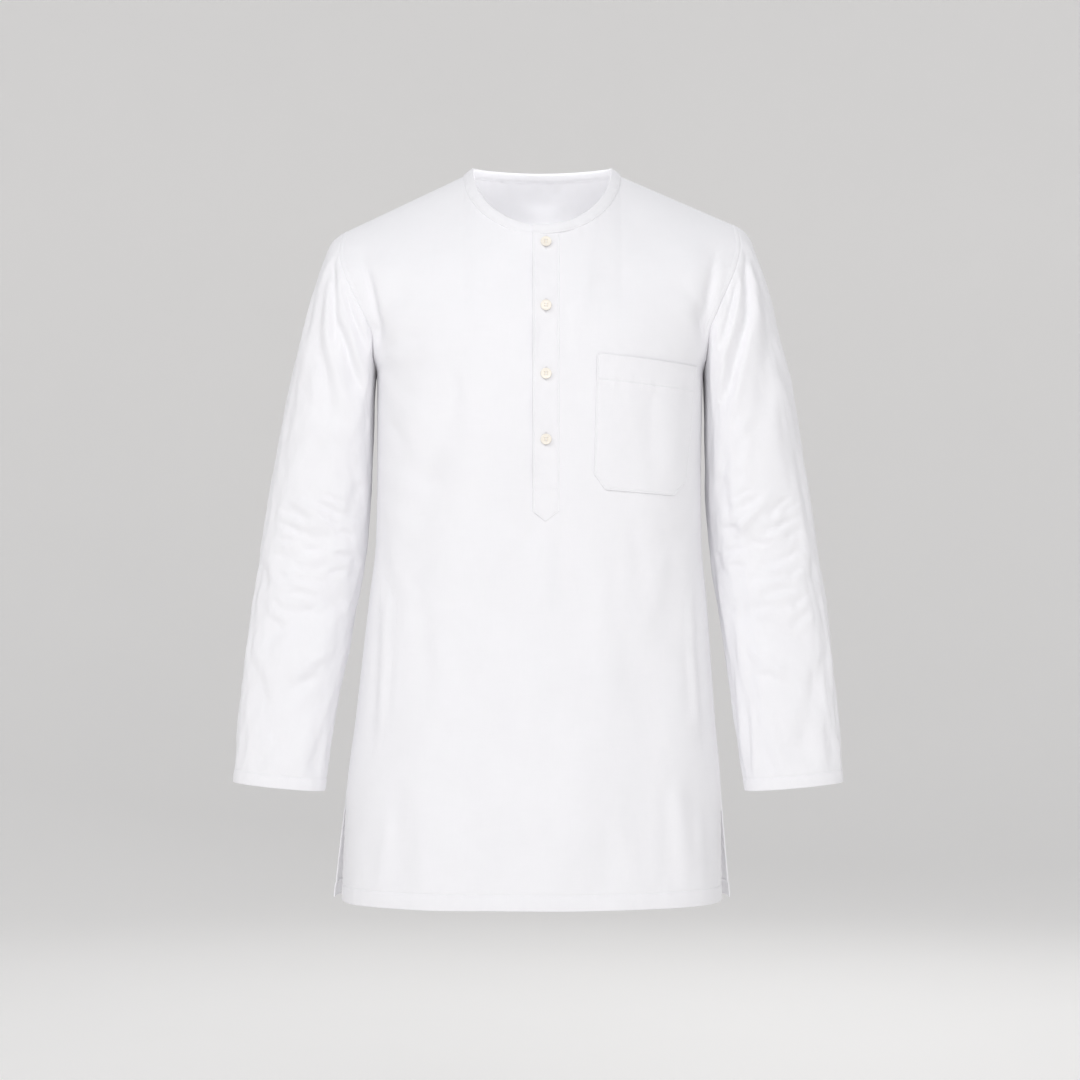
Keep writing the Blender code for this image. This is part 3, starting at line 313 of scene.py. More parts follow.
LEFT_SLEEVE_CREASES = (
    (0.234, -0.09, 0.237, -0.208, 0.004, 0.0046, -0.0034),
    (0.24, -0.158, 0.204, -0.298, 0.003, 0.0054, -0.0034),
    (0.2465, -0.104, 0.264, -0.236, 0.005, 0.006, -0.0026),
    (0.228, -0.12, 0.2, -0.232, 0.003, 0.004, -0.0026),
    (0.27, -0.14, 0.282, -0.25, 0.006, 0.007, 0.0014),
    (0.238, -0.3, 0.218, -0.386, -0.003, 0.007, -0.0015),
    (0.218, -0.33, 0.204, -0.396, -0.002, 0.005, -0.0014),
    (0.302, -0.39, 0.278, -0.402, -0.002, 0.0034, -0.0013),
    (0.304, -0.406, 0.27, -0.42, -0.0024, 0.0036, -0.0014),
    (0.306, -0.424, 0.284, -0.43, -0.0016, 0.0034, -0.0013),
    (0.274, -0.434, 0.238, -0.433, 0.003, 0.0036, -0.0015),
    (0.308, -0.446, 0.29, -0.447, -0.0016, 0.0036, -0.0013),
    (0.28, -0.462, 0.246, -0.463, 0.0024, 0.0036, -0.0013),
    (0.304, -0.464, 0.286, -0.478, -0.002, 0.0038, -0.0014),
    (0.242, -0.466, 0.212, -0.463, -0.002, 0.0036, -0.0013),
    (0.254, -0.394, 0.224, -0.417, -0.0026, 0.0036, -0.0014),
    (0.246, -0.374, 0.218, -0.388, -0.002, 0.0038, -0.0013),
    (0.27, -0.506, 0.238, -0.512, 0.0024, 0.0045, -0.0012),
    (0.308, -0.496, 0.292, -0.514, -0.002, 0.0045, -0.0014),
    (0.228, -0.498, 0.22, -0.524, -0.0014, 0.004, -0.0012),
    (0.292, -0.382, 0.262, -0.41, -0.003, 0.005, -0.0019),
    (0.29, -0.414, 0.252, -0.428, -0.003, 0.0052, -0.0018),
    (0.258, -0.386, 0.222, -0.402, -0.003, 0.0055, -0.0019),
    (0.232, -0.42, 0.206, -0.424, -0.002, 0.005, -0.0016),
    (0.3, -0.446, 0.25, -0.456, 0.005, 0.0052, -0.0022),
    (0.238, -0.444, 0.208, -0.452, -0.002, 0.005, -0.0018),
    (0.29, -0.474, 0.236, -0.48, -0.003, 0.0052, -0.0017),
    (0.296, -0.49, 0.25, -0.5, -0.003, 0.0052, -0.0018),
    (0.322, -0.44, 0.318, -0.486, -0.002, 0.006, -0.0018),
    (0.272, -0.374, 0.222, -0.43, -0.003, 0.008, 0.0015),
    (0.314, -0.512, 0.29, -0.536, -0.002, 0.006, -0.0016),
    (0.207, -0.444, 0.212, -0.476, -0.003, 0.0048, -0.002),
    (0.2, -0.35, 0.21, -0.412, 0.004, 0.0075, -0.0022),
    (0.24, -0.502, 0.294, -0.512, -0.003, 0.006, -0.0013),
    (0.234, -0.556, 0.284, -0.596, 0.005, 0.008, 0.0016),
    (0.242, -0.584, 0.304, -0.618, 0.005, 0.008, -0.0015),
    (0.332, -0.556, 0.318, -0.636, -0.004, 0.008, -0.0015),
    (0.258, -0.626, 0.28, -0.698, -0.004, 0.008, 0.0013),
    (0.304, -0.64, 0.32, -0.702, -0.003, 0.008, -0.0013),
    (0.252, -0.115, 0.264, -0.21, -0.006, 0.008, 0.0018),
    (0.22, -0.2, 0.204, -0.292, 0.004, 0.006, -0.0018),
    (0.27, -0.256, 0.288, -0.368, -0.006, 0.01, 0.0015),
    (0.232, -0.285, 0.218, -0.37, 0.005, 0.009, 0.0015),
)
SLEEVE_BACK_CREASES = (
    (0.3, -0.36, 0.236, -0.392, 0.004, 0.0065, -0.0022),
    (0.302, -0.396, 0.224, -0.416, 0.004, 0.0065, 0.0018),
    (0.306, -0.43, 0.226, -0.448, 0.004, 0.0065, -0.0022),
    (0.31, -0.462, 0.24, -0.47, -0.004, 0.0065, 0.0018),
    (0.3, -0.52, 0.236, -0.54, 0.004, 0.0075, -0.0018),
    (0.27, -0.14, 0.282, -0.3, 0.008, 0.011, -0.002),
    (0.222, -0.18, 0.214, -0.3, -0.004, 0.008, -0.002),
    (0.25, -0.22, 0.24, -0.34, 0.006, 0.009, 0.0018),
    (0.26, -0.62, 0.276, -0.7, 0.004, 0.009, 0.0014),
    (0.31, -0.58, 0.324, -0.69, 0.004, 0.009, -0.0014),
)
CREASE_SPREAD = 0.7
CREASE_GAIN = 1.40
CREASE_END = 0.30
BESIDE_SHARE = 0.35
BESIDE_SHIFT = 1.9

# Low unevenness of the whole cloth. Each row: longest wave, height, and how close the waves lie upright
# as a share of how close they lie across
BODY_ROLLS = ((0.200, 0.00150, 0.40), (0.060, 0.00026, 0.60), (0.018, 0.00006, 0.80))
SLEEVE_ROLLS = ((0.110, 0.00080, 0.80), (0.040, 0.00028, 1.00), (0.016, 0.00006, 1.00))
ROLL_WAVES = 12
ROLL_TURN = 0.3

# Front placket and the slash under it
PLACKET_LEFT_X = -0.0084
PLACKET_RIGHT_X = 0.0219
PLACKET_SHOULDER_Z = -0.4003
PLACKET_TIP_Z = -0.4122
PLACKET_TIP_X = 0.0062
PLACKET_END_LINE_Z = -0.3745
SLASH_X = 0.0068
SLASH_WIDTH = 0.0020
SLASH_END_Z = -0.3700
UNDER_PLACKET_INSET = 0.0022
UNDER_PLACKET_END_Z = -0.3900
UNDER_PLACKET_CLEAR = 0.0004

# Chest pocket seen from the front
POCKET_TOP_INNER = (0.0641, -0.2220)
POCKET_TOP_OUTER = (0.1788, -0.2339)
POCKET_LOW_INNER = (0.0606, -0.3587)
POCKET_LOW_OUTER = (0.1653, -0.3671)
POCKET_END_INNER = (0.0731, -0.3763)
POCKET_END_OUTER = (0.1511, -0.3826)
POCKET_CUT_SHARE = 0.88
POCKET_HEM = 0.0290

# Side pocket bags behind the front, and the line of stitches beside each opening
BAG_COLUMNS = ("z", "right_x", "left_x")
BAG_ROWS = (
    (-0.462, 0.1900, 0.1800),
    (-0.478, 0.1785, 0.1720),
    (-0.492, 0.1695, 0.1655),
    (-0.516, 0.1640, 0.1640),
    (-0.570, 0.1690, 0.1660),
    (-0.616, 0.1750, 0.1720),
    (-0.656, 0.1770, 0.1755),
    (-0.684, 0.1850, 0.1840),
)
OPENING_COLUMNS = ("z", "right_x", "left_x")
OPENING_ROWS = (
    (-0.466, 0.1880, 0.1760),
    (-0.480, 0.1845, 0.1735),
    (-0.520, 0.1835, 0.1745),
    (-0.570, 0.1855, 0.1775),
    (-0.620, 0.1885, 0.1835),
    (-0.660, 0.1905, 0.1875),
    (-0.682, 0.1915, 0.1885),
)
BAG_SEAM_SHARE = 0.985
BAG_CLOTH = 0.0008
BAG_GRID = (90, 24)
LINE_STEPS = 160
LINE_STRIP = np.array([[-0.001, 0.001]])

# Neckband levels, and where its ends lap, by turns round the neck in radians
BAND_CLOTH = 0.0028
BAND_WIDTH = 0.010
BAND_LEVEL = 0.0014
BAND_OVERLAP = 0.0012
BAND_ROUNDNESS = (0.45, 0.40)
LAP_RISE = 0.0013
LAP_START = 0.45
UNDER_DROP = 0.0019
UNDER_START = 0.42
LAP_RUN = 0.22

# Levels of what lies on the front
PLACKET_LEVEL = 0.0020
PLACKET_CLOTH = 0.0012
PLACKET_UNDER_BAND = 0.0006
PLACKET_END_CLEAR = 0.001
POCKET_LEVEL = 0.0016
POCKET_CLOTH = 0.0009
INSIDE_LEVEL = -0.0016

# Places of the buttons, and how far their lower faces stand off the front's cloth
BUTTON_Z = (-0.0961, -0.1690, -0.2456, -0.3192)
BUTTON_X = 0.0068
BUTTON_SEAT = 0.0026

# Buttons from the rim's lower edge to the dish, and their holes
BUTTON_COLUMNS = ("radius", "rise")
BUTTON_PROFILE = (
    (0.0046, 0.0), (0.0058, 0.0004), (0.0062, 0.0012), (0.0060, 0.0019), (0.0053, 0.0022), (0.0045, 0.0019),
)
BUTTON_TURNS = 96
BUTTON_STEPS = 34
BUTTON_DISH = 0.0002
BUTTON_PATCH = 0.004
HOLE_REACH = 0.0020
HOLE_RADIUS = 0.0009
HOLE_RIM = 0.00025
HOLE_DEPTH = 0.0012

# Distances of stitch lines from the edge beside them, and thread
BAND_STITCH = 0.0026
PLACKET_STITCH = 0.0020
POCKET_STITCH = 0.0020
ARMHOLE_STITCH = 0.0060
SEAM_STITCH = 0.0064
STITCH_SHARE = 0.80
HEM_END_CLEAR = 0.0015
SLIT_STITCH_PAST = 0.003
SEAM_END_CLEAR = 0.004
NECK_END_CLEAR = 0.02
BUTTONHOLE_HALF = 0.0078
BUTTONHOLE_BARS = 36
BUTTONHOLE_BESIDE = 0.0008
BUTTONHOLE_BAR = 0.0005
BUTTONHOLE_RISE = 0.00005
BUTTONHOLE_THREAD = 0.00020
BUTTON_THREAD = 0.00020
BUTTON_THREAD_SHIFTS = (-0.00022, 0.0, 0.00022)
BUTTON_THREAD_END = 0.00030
BUTTON_THREAD_BOW = 0.3
SHANK_TURNS = 14
SHANK_RADIUS = 0.0009
SHANK_HALF = 0.0007
SHANK_DEPTH = 0.0003
THREAD_SINK = 0.0001
THREAD_SIDES = 5
THREAD_PROFILE = ((-0.75, 0.8), (0.0, 1.0), (0.75, 0.8))
THREAD_ARCH = 0.5
WEAVE_PITCH = 0.0006

# Relief of the sewing: half width and depth of each groove
HEM_GROOVE = (0.0011, 0.00055)
SEAM_GROOVE = (0.0016, 0.00060)
SHOULDER_GROOVE = (0.0014, 0.00060)
ARMHOLE_GROOVE = (0.0013, 0.00050)
ARMHOLE_STITCH_GROOVE = (0.0010, 0.00030)
BAND_GROOVE = (0.0009, 0.00042)
PLACKET_GROOVE = (0.0008, 0.00042)
PLACKET_POINT_GROOVE = (0.0008, 0.00025)
PLACKET_END_GROOVE = (0.0011, 0.00055)
POCKET_GROOVE = (0.0008, 0.00042)
POCKET_HEM_GROOVE = (0.0010, 0.00040)

# Ripples beside the seams: height, distance from the edge where they are highest, and reach
SIDE_RIPPLES = (0.00025, 0.006, 0.010)
NECK_RIPPLES = (0.00030, 0.004, 0.010)
SLEEVE_HEAD_RIPPLES = (0.00030, 0.0, 0.012)
BAND_RIPPLES = (0.00022, BAND_STITCH, 0.004)
PLACKET_RIPPLES = (0.00012, PLACKET_STITCH, 0.004)
POCKET_SIDE_RIPPLES = (0.00022, POCKET_STITCH, 0.005)
POCKET_HEM_RIPPLES = (0.00030, POCKET_HEM, 0.010)
POCKET_LOW_RIPPLES = (0.00022, 0.0, 0.012)
HEM_RIPPLE = 0.00022
RIPPLE_LENGTHS = (0.009, 0.030)
RIPPLE_WAVES = 5

# Folded edges: what is left of the half thickness there, puffs, the doubled cloth of a hem, and the
# raised bands beside felled seams by height and width
EDGE_LEFT = 0.00001
HEM_PUFF = 0.00045
BAND_PUFF = 0.00025
HEM_DOUBLING = 1.1
HEM_STEP = 0.0006
HEM_STITCH = 0.0004
ARMHOLE_GROOVE_RUN = 0.0062
ARMHOLE_FELL = (0.00035, 0.0064)
SHOULDER_FELL = (0.00030, 0.0075)
FELL_RISE = 0.0015
FELL_FALL = 0.0012
POCKET_HEM_RISE = 0.00030
POCKET_HEM_STEP = 0.0008

# Lengths over which relief fades in: into the slit, into the armhole, along a seam from its end, above
# the hem, and away from the armhole seam on the body and the sleeve
SLIT_FADE = 0.003
ARMHOLE_FADE = 0.004
SEAM_END_FADE = 0.010
ABOVE_HEM_FADE = 0.012
BODY_HEAD_FADE = 0.004
SLEEVE_HEAD_FADE = 0.003

# How far the placket's sewn edge sinks, and how its open edge stands off between the buttons
PLACKET_SINK = 0.0014
PLACKET_PUCKER_LEAN = 0.3
PLACKET_STAND = 0.0015
STAND_CLEAR = 0.008
STAND_RUN = 0.020
STAND_LOW_Z = -0.372
STAND_REACH = 0.006
POCKET_STAND = 0.0006
POCKET_STAND_REACH = 0.035

# A run across a slanted edge, as a share of the same run taken straight
PLACKET_POINT_SLANT = 0.78
POCKET_CORNER_SLANT = 0.72

# Grid sizes, and distances from a folded edge at which a grid has its closest rows
ARMHOLE_STEPS = 60
SLEEVE_RINGS = 290
SLEEVE_RUN = 0.56
BAND_STEPS = 420
BAND_SIDES = 28
PANEL_STEP = {-1: 0.0040, 1: 0.0042}
PANEL_NECK_STEPS = {-1: 38, 1: 32}
PANEL_ROW_STEP = 0.0036
PANEL_SAMPLE_Z = -0.78
SLASH_CLEAR = 0.004
PLACKET_ROW_STEP = 0.0021
POCKET_SPAN = (0.115, 0.155)
HEM_TURN_START = 0.005
HEM_TURN_END = 0.0024
HEM_LINE_REACH = 0.0014
HEM_ABOVE = np.array([0.0026, 0.0044, 0.0070])
HEM_FOLD = np.array([0.0, 0.00008, 0.00025, 0.0005, 0.0009, 0.0017, 0.003])
STRIP_FOLD = np.array([0.0, 0.00008, 0.00025, 0.0005, 0.0009, 0.0014, 0.0020, 0.0027, 0.0036])
POCKET_HEM_SPANS = np.array([-0.0014, -0.0009, -0.0005, 0.0, 0.0005, 0.0009, 0.0014])
PATCH_FOLD = np.array([0.0, 0.0001, 0.0003, 0.0006, 0.0011, 0.0017, 0.0024, 0.0034])

# Starting numbers of the random draws, by side or hand where a piece has two
BODY_ROLL_SEEDS = {-1: 11, 1: 23}
SLEEVE_ROLL_SEEDS = {-1: 37, 1: 53}
PANEL_SEEDS = {-1: 101, 1: 202}
SLEEVE_SEEDS = {-1: 303, 1: 404}
PLACKET_SEED = 505
POCKET_SEED = 606
BAND_SEED = 707

# The wearer's hands by the sign of X
HANDS = (("right", -1), ("left", 1))

# Camera and room
AIM = (0.0, 0.0, -0.433)
CAMERA_DISTANCE = 3.6
VIEW_WIDTH = 1.2604
SENSOR = 36.0
FLOOR_Z = -1.42
KEY_LIGHT = (-2.1, -3.0, 2.2)
KEY_SIZE = 1.1
FILL_LIGHT = (0.5, -3.9, 1.2)
FILL_SIZE = 1.8
BACK_LIGHT = (0.6, 3.2, 1.6)
BACK_SIZE = 3.0
NECK_LIGHT = (-0.002, -0.045, -0.035)
NECK_LIGHT_AIM = (-0.002, 0.090, -0.060)
NECK_LIGHT_SIZE = (0.11, 0.03)
ROOM_COLOUR = (0.97, 0.98, 1.0, 1.0)
FLOOR_RADIUS = 4.5
FLOOR_BEND = 2.0
FLOOR_TURNS = 96
WALL_HEIGHT = 3.6


def column(rows, names, name):
    """One named column of a table as an array."""
    return np.array([row[names.index(name)] for row in rows])


def smooth(at, xs, ys):
    """Value at `at` on a smooth curve through (xs, ys), xs rising: cubics whose end slopes are the
    harmonic means of the neighbouring slopes."""
    steps = np.diff(xs)
    slopes = np.diff(ys) / steps
    product = slopes[:-1] * slopes[1:]
    total = slopes[:-1] + slopes[1:]
    inner = np.where(product > 0.0, 2.0 * product / np.where(total == 0.0, 1.0, total), 0.0)
    tangents = np.concatenate(([slopes[0]], inner, [slopes[-1]]))
    cell = np.clip(np.searchsorted(xs, at) - 1, 0, len(xs) - 2)
    t = np.clip((at - xs[cell]) / steps[cell], 0.0, 1.0)
    start = ys[cell] * (1 + 2 * t) * (1 - t) ** 2 + tangents[cell] * steps[cell] * t * (1 - t) ** 2
    end = ys[cell + 1] * t * t * (3 - 2 * t) - tangents[cell + 1] * steps[cell] * t * t * (1 - t)
    return start + end


def ease(value):
    """0 below 0, 1 above 1, and a smooth step between."""
    share = np.clip(value, 0.0, 1.0)
    return share * share * (3.0 - 2.0 * share)


def unit(vectors):
    """Vectors brought to length one."""
    return vectors / np.maximum(np.linalg.norm(vectors, axis=-1, keepdims=True), 1e-12)


def body_size(name, z):
    """One column of the body's sections at height z."""
    return smooth(z, column(BODY_ROWS, BODY_COLUMNS, "z"), column(BODY_ROWS, BODY_COLUMNS, name))


def panel_half_width(side, z):
    """Half width of the front, side -1, or the back, side +1, at height z."""
    return body_size("front_half_width" if side < 0 else "back_half_width", z)


def level_x(side, across, z):
    """Front-view place on a panel's level section at a grid place across it."""
    return body_size("centre", z) + panel_half_width(side, z) * np.sin(0.5 * np.pi * across)


def shoulder_slope(x):
    """Fall of the shoulder line on either side."""
    return np.where(x > NECK_CENTRE_X, LEFT_SHOULDER_SLOPE, RIGHT_SHOULDER_SLOPE)


def shoulder_z(x):
    """Height of the shoulder line: straight outside the neck, and steeper up the neck."""
    out = np.abs(x - NECK_CENTRE_X)
    outside = NECK_SIDE_Z - shoulder_slope(x) * (out - NECK_HALF_WIDTH)
    inside = NECK_SIDE_Z + NECK_SLOPE * (NECK_HALF_WIDTH**2 - out**2) / (2.0 * NECK_HALF_WIDTH)
    return np.where(out > NECK_HALF_WIDTH, outside, inside)


def fold_height(folds, x, z):
    """Sum of soft folds: each is a bell curve across its line that fades past its ends."""
    total = np.zeros(np.broadcast(x, z).shape)
    for x_from, z_from, x_to, z_to, half_width, height in folds:
        run_x = x_to - x_from
        run_z = z_to - z_from
        along = np.clip(((x - x_from) * run_x + (z - z_from) * run_z) / (run_x**2 + run_z**2), 0.0, 1.0)
        away = np.hypot(x - x_from - along * run_x, z - z_from - along * run_z)
        total = total + height * np.exp(-((away / half_width) ** 2))
    return total


def crease_height(creases, x, z):
    """Sum of finer creases: a bell curve across a bowed line, with a lower one of the other sign beside
    it. The half width grows along the line, and the height fades at both ends."""
    total = np.zeros(np.broadcast(x, z).shape)
    for x_from, z_from, x_to, z_to, bow, half_width, height in creases:
        run_x = x_to - x_from
        run_z = z_to - z_from
        length = np.hypot(run_x, run_z)
        along = ((x - x_from) * run_x + (z - z_from) * run_z) / length**2
        inside = np.clip(along, 0.0, 1.0)
        across = ((z - z_from) * run_x - (x - x_from) * run_z) / length - 4.0 * bow * inside * (1.0 - inside)
        width = half_width * (1.0 - CREASE_SPREAD / 2.0 + CREASE_SPREAD * inside)
        fade = ease(along / CREASE_END) * ease((1.0 - along) / CREASE_END)
        bell = np.exp(-((across / width) ** 2))
        beside = np.exp(-((across / width - BESIDE_SHIFT) ** 2))
        total = total + CREASE_GAIN * height * fade * (bell - BESIDE_SHARE * beside)
    return total


def rolling(rolls, x, z, seed):
    """Low unevenness: a sum of level waves of drawn lengths, directions and phases."""
    total = np.zeros(np.broadcast(x, z).shape)
    for number, (longest, height, upright) in enumerate(rolls):
        draw = np.random.default_rng(seed + number)
        lengths = longest * draw.uniform(0.4, 1.0, ROLL_WAVES)
        angles = draw.uniform(0.0, np.pi, ROLL_WAVES)
        phases = draw.uniform(0.0, 2.0 * np.pi, ROLL_WAVES)
        for length, angle, phase in zip(lengths, angles, phases):
            turn = 2.0 * np.pi * (x * np.cos(angle) + upright * z * np.sin(angle)) / length + phase
            total = total + height * (length / longest) * np.sin(turn) / np.sqrt(ROLL_WAVES / 2.0)
    return total


def body_points(side, x, z):
    """Outer face of the body at front-view places (x, z): side -1 is the front and +1 the back.

    A level section is an oval of power SECTION_POWER, drawn in towards the shoulder line by a curve of
    power SLOPE_POWER. The side edges part below the slits. Folds, creases and rolls stand out of it.
    """
    is_front = side < 0
    half_width = panel_half_width(side, z)
    depth = body_size("front_depth" if is_front else "back_depth", z)
    centre = body_size("centre", z)
    share = np.clip(np.abs(x - centre) / half_width, 0.0, 1.0)
    oval = (1.0 - share**SECTION_POWER) ** (1.0 / SECTION_POWER)
    if is_front:
        slope_height = FRONT_SLOPE_HEIGHT
    else:
        slope_height = BACK_SLOPE_HEIGHT + BACK_SLOPE_WIDENING * ease(np.abs(x) / BACK_SLOPE_REACH)
    rise = np.clip((shoulder_z(x) - z) / slope_height, 0.0, 1.0)
    slope = (1.0 - (1.0 - rise) ** SLOPE_POWER) ** (1.0 / SLOPE_POWER)
    flare = (FRONT_FLARE if is_front else BACK_FLARE) * ease((SLIT_TOP_Z - z) / (SLIT_TOP_Z - HEM_Z))
    out_x = np.sign(x - centre) * share ** (SECTION_POWER - 1.0) / half_width
    out_y = oval ** (SECTION_POWER - 1.0) / depth
    length = np.hypot(out_x, out_y)
    folds = fold_height(FRONT_FOLDS if is_front else BACK_FOLDS, x, z)
    folds = folds + crease_height(FRONT_CREASES if is_front else BACK_CREASES, x, z)
    folds = folds + rolling(BODY_ROLLS, x, z, BODY_ROLL_SEEDS[side])
    folds = folds * slope * ease((1.0 - share) / SIDE_FADE)
    y = depth * oval * slope + flare * share**FLARE_POWER
    return np.stack([x + folds * out_x / length, side * (y + folds * out_y / length), z + 0.0 * x], axis=-1)


def armhole_curve(hand, share):
    """The armhole seam in the front view, from the armpit at 0 to the shoulder tip at 1, by its length."""
    xs = column(ARMHOLE_ROWS, ARMHOLE_COLUMNS, "x")
    zs = column(ARMHOLE_ROWS, ARMHOLE_COLUMNS, "z")
    tip_z = float(shoulder_z(np.array(hand * SHOULDER_TIP_X)))
    zs = ARMPIT_Z + (zs - ARMPIT_Z) * (tip_z - ARMPIT_Z) / (zs[-1] - ARMPIT_Z)
    lengths = np.concatenate(([0.0], np.cumsum(np.hypot(np.diff(xs), np.diff(zs)))))
    at = share * lengths[-1]
    return hand * smooth(at, lengths, xs), smooth(at, lengths, zs)


def neck_share():
    """Grid place of the high shoulder point."""
    return NECK_HALF_WIDTH / body_size("front_half_width", np.array(ARMPIT_Z))


def yoke_places(side, across, up):
    """Front-view places above the armpit line: the patch blended from its four edge lines."""
    width = body_size("front_half_width", np.array(ARMPIT_Z))
    neck = neck_share()

    def low(place):
        return width * np.sin(0.5 * np.pi * place), ARMPIT_Z + 0.0 * place

    def high(place):
        turn = 0.5 * np.pi * np.clip(place / neck, -1.0, 1.0)
        drop = NECK_FRONT_DROP if side < 0 else -NECK_BACK_RISE
        beyond = np.clip((np.abs(place) - neck) / (1.0 - neck), 0.0, 1.0)
        hand = np.sign(place)
        reach = SHOULDER_TIP_X - hand * NECK_CENTRE_X - NECK_HALF_WIDTH
        in_neck = np.abs(place) <= neck
        out = np.where(in_neck, NECK_HALF_WIDTH * np.sin(turn), hand * (NECK_HALF_WIDTH + reach * beyond))
        x = NECK_CENTRE_X + out
        z = np.where(in_neck, NECK_SIDE_Z - drop * np.cos(turn), shoulder_z(x))
        return x, z

    places = []
    for axis in (0, 1):
        between = (1 - up) * low(across)[axis] + up * high(across)[axis]
        for hand in (-1, 1):
            end = np.array(float(hand))
            drift = armhole_curve(hand, up)[axis] - (1 - up) * low(end)[axis] - up * high(end)[axis]
            between = between + 0.5 * (1.0 + hand * across) * drift
        places.append(between)
    return places


def grid_normals(points, wraps=False):
    """Unit normals of a grid from its neighbours along rows and columns."""
    if wraps:
        along = np.roll(points, -1, axis=1) - np.roll(points, 1, axis=1)
    else:
        along = np.gradient(points, axis=1)
    return unit(np.cross(along, np.gradient(points, axis=0)))


def sleeve_size(name, share):
    """One column of the sleeve's sections at a share of the way from the shoulder to the cuff."""
    at = np.linspace(0.0, 1.0, len(SLEEVE_ROWS))
    return smooth(share, at, column(SLEEVE_ROWS, SLEEVE_COLUMNS, name))


def armhole_ring(hand, turns):
    """The armhole seam in space: turn 0 is the shoulder tip, pi the armpit, front first."""
    x, z = armhole_curve(hand, 1.0 - np.abs(turns) / np.pi)
    ring = np.where(turns[..., None] >= 0.0, body_points(-1, x, z), body_points(1, x, z))
    ends = (np.abs(turns) < 1e-6) | (np.abs(turns) > np.pi - 1e-6)
    ring[..., 1] = np.where(ends, 0.0, ring[..., 1])
    return ring


def sleeve_points(hand, share, turns):
    """Outer face of a sleeve: ovals between an outer and an inner point, drawn over to the armhole seam
    near the shoulder. Folds, creases and rolls stand out along the line from the oval's centre."""
    word = "right" if hand < 0 else "left"

    def end(which, at):
        x = hand * sleeve_size(f"{which}_{word}", at)
        return np.stack([x, 0.0 * at, sleeve_size(f"{which}_z", at)], -1)

    def oval(at):
        outer = end("outer", at)
        inner = end("inner", at)
        middle = (outer + inner) / 2.0
        middle[..., 1] = sleeve_size("back", at)
        ring = middle + (outer - inner) / 2.0 * np.cos(turns)[..., None]
        ring[..., 1] -= sleeve_size("half_depth", at) * np.sin(turns)
        return ring, middle

    ring, middle = oval(share)
    first, _ = oval(0.0 * share)
    hold = 1.0 - ease(share / CAP_BLEND)
    ring = ring + (armhole_ring(hand, turns[:1]) - first[:1]) * hold[..., None]
    x = ring[..., 0]
    z = ring[..., 2]
    front = fold_height(RIGHT_SLEEVE_FOLDS if hand < 0 else LEFT_SLEEVE_FOLDS, x, z)
    front = front + crease_height(RIGHT_SLEEVE_CREASES if hand < 0 else LEFT_SLEEVE_CREASES, x, z)
    back = fold_height(SLEEVE_BACK_FOLDS, np.abs(x), z) + crease_height(SLEEVE_BACK_CREASES, np.abs(x), z)
    facing = np.sin(turns)
    height = front * ease(facing / SLEEVE_EDGE_FADE) + back * ease(-facing / SLEEVE_EDGE_FADE)
    height = height + rolling(SLEEVE_ROLLS, x + ROLL_TURN * np.sin(turns), z, SLEEVE_ROLL_SEEDS[hand])
    height = height * ease(share / CAP_FADE) * ease((1.0 - share) / CUFF_FADE)
    return ring + height[..., None] * unit(ring - middle)


def sleeve_turns(steps):
    """Turns round a sleeve, from the armpit round by the front and the shoulder tip."""
    return np.pi * (1.0 - 2.0 * np.arange(2 * steps) / (2 * steps))


def edge_runs(points, from_start=True, axis=0):
    """Distance of every grid point from one edge of the grid, measured over the cloth."""
    steps = np.linalg.norm(np.diff(points, axis=axis), axis=-1)
    if not from_start:
        steps = np.flip(steps, axis=axis)
    runs = np.concatenate([np.zeros_like(np.take(steps, [0], axis=axis)), np.cumsum(steps, axis=axis)], axis)
    return runs if from_start else np.flip(runs, axis=axis)


def near_edge(spans, step, length):
    """Places from 0 to length: the given spans first, and then even steps of about `step`."""
    rest = length - spans[-1]
    count = max(int(round(rest / step)), 1)
    return np.concatenate([spans, spans[-1] + rest * np.arange(1, count + 1) / count])


def hem_spans(hem):
    """Distances from a hemmed edge at which the grid has a row: close at the fold and at the stitches."""
    turned = np.linspace(HEM_TURN_START, hem - HEM_TURN_END, 4)
    beside_stitches = hem + np.linspace(-HEM_LINE_REACH, HEM_LINE_REACH, 7)
    return np.concatenate([HEM_FOLD, turned, beside_stitches, hem + HEM_ABOVE])


def groove(run, at, size):
    """A groove at distance `at` from an edge: a bell curve of the size's half width and depth."""
    half_width, depth = size
    return -depth * np.exp(-(((run - at) / half_width) ** 2))


def pucker(along, seed, height):
    """Small uneven ripples along a seam: a sum of five waves of drawn lengths and phases."""
    draw = np.random.default_rng(seed)
    total = 0.0 * along
    for length in draw.uniform(*RIPPLE_LENGTHS, RIPPLE_WAVES):
        total = total + np.sin(2.0 * np.pi * along / length + draw.uniform(0.0, 6.28))
    return height * total / 2.0


def ripples(along, run, seed, size):
    """Ripples beside an edge, highest at one distance from it: a pucker under a bell curve."""
    height, at, reach = size
    return pucker(along, seed, height) * np.exp(-(((run - at) / reach) ** 2))


def felled(run, size):
    """The raised band beside a seam whose allowance is folded under it."""
    height, width = size
    return height * ease(run / FELL_RISE) * ease((width - run) / FELL_FALL)


def hem_relief(run, along, hem, seed):
    """Outward relief of a hem: a soft puff between fold and stitches, a groove under the stitches, and
    ripples that fade above them."""
    puff = HEM_PUFF * np.sqrt(np.clip(1.0 - (2.0 * run / hem - 1.0) ** 2, 0.0, 1.0)) * (run < hem)
    rippled = ripples(along, run, seed, (HEM_RIPPLE, 0.75 * hem, 0.9 * hem))
    return puff + groove(run, hem - HEM_STITCH, HEM_GROOVE) + rippled


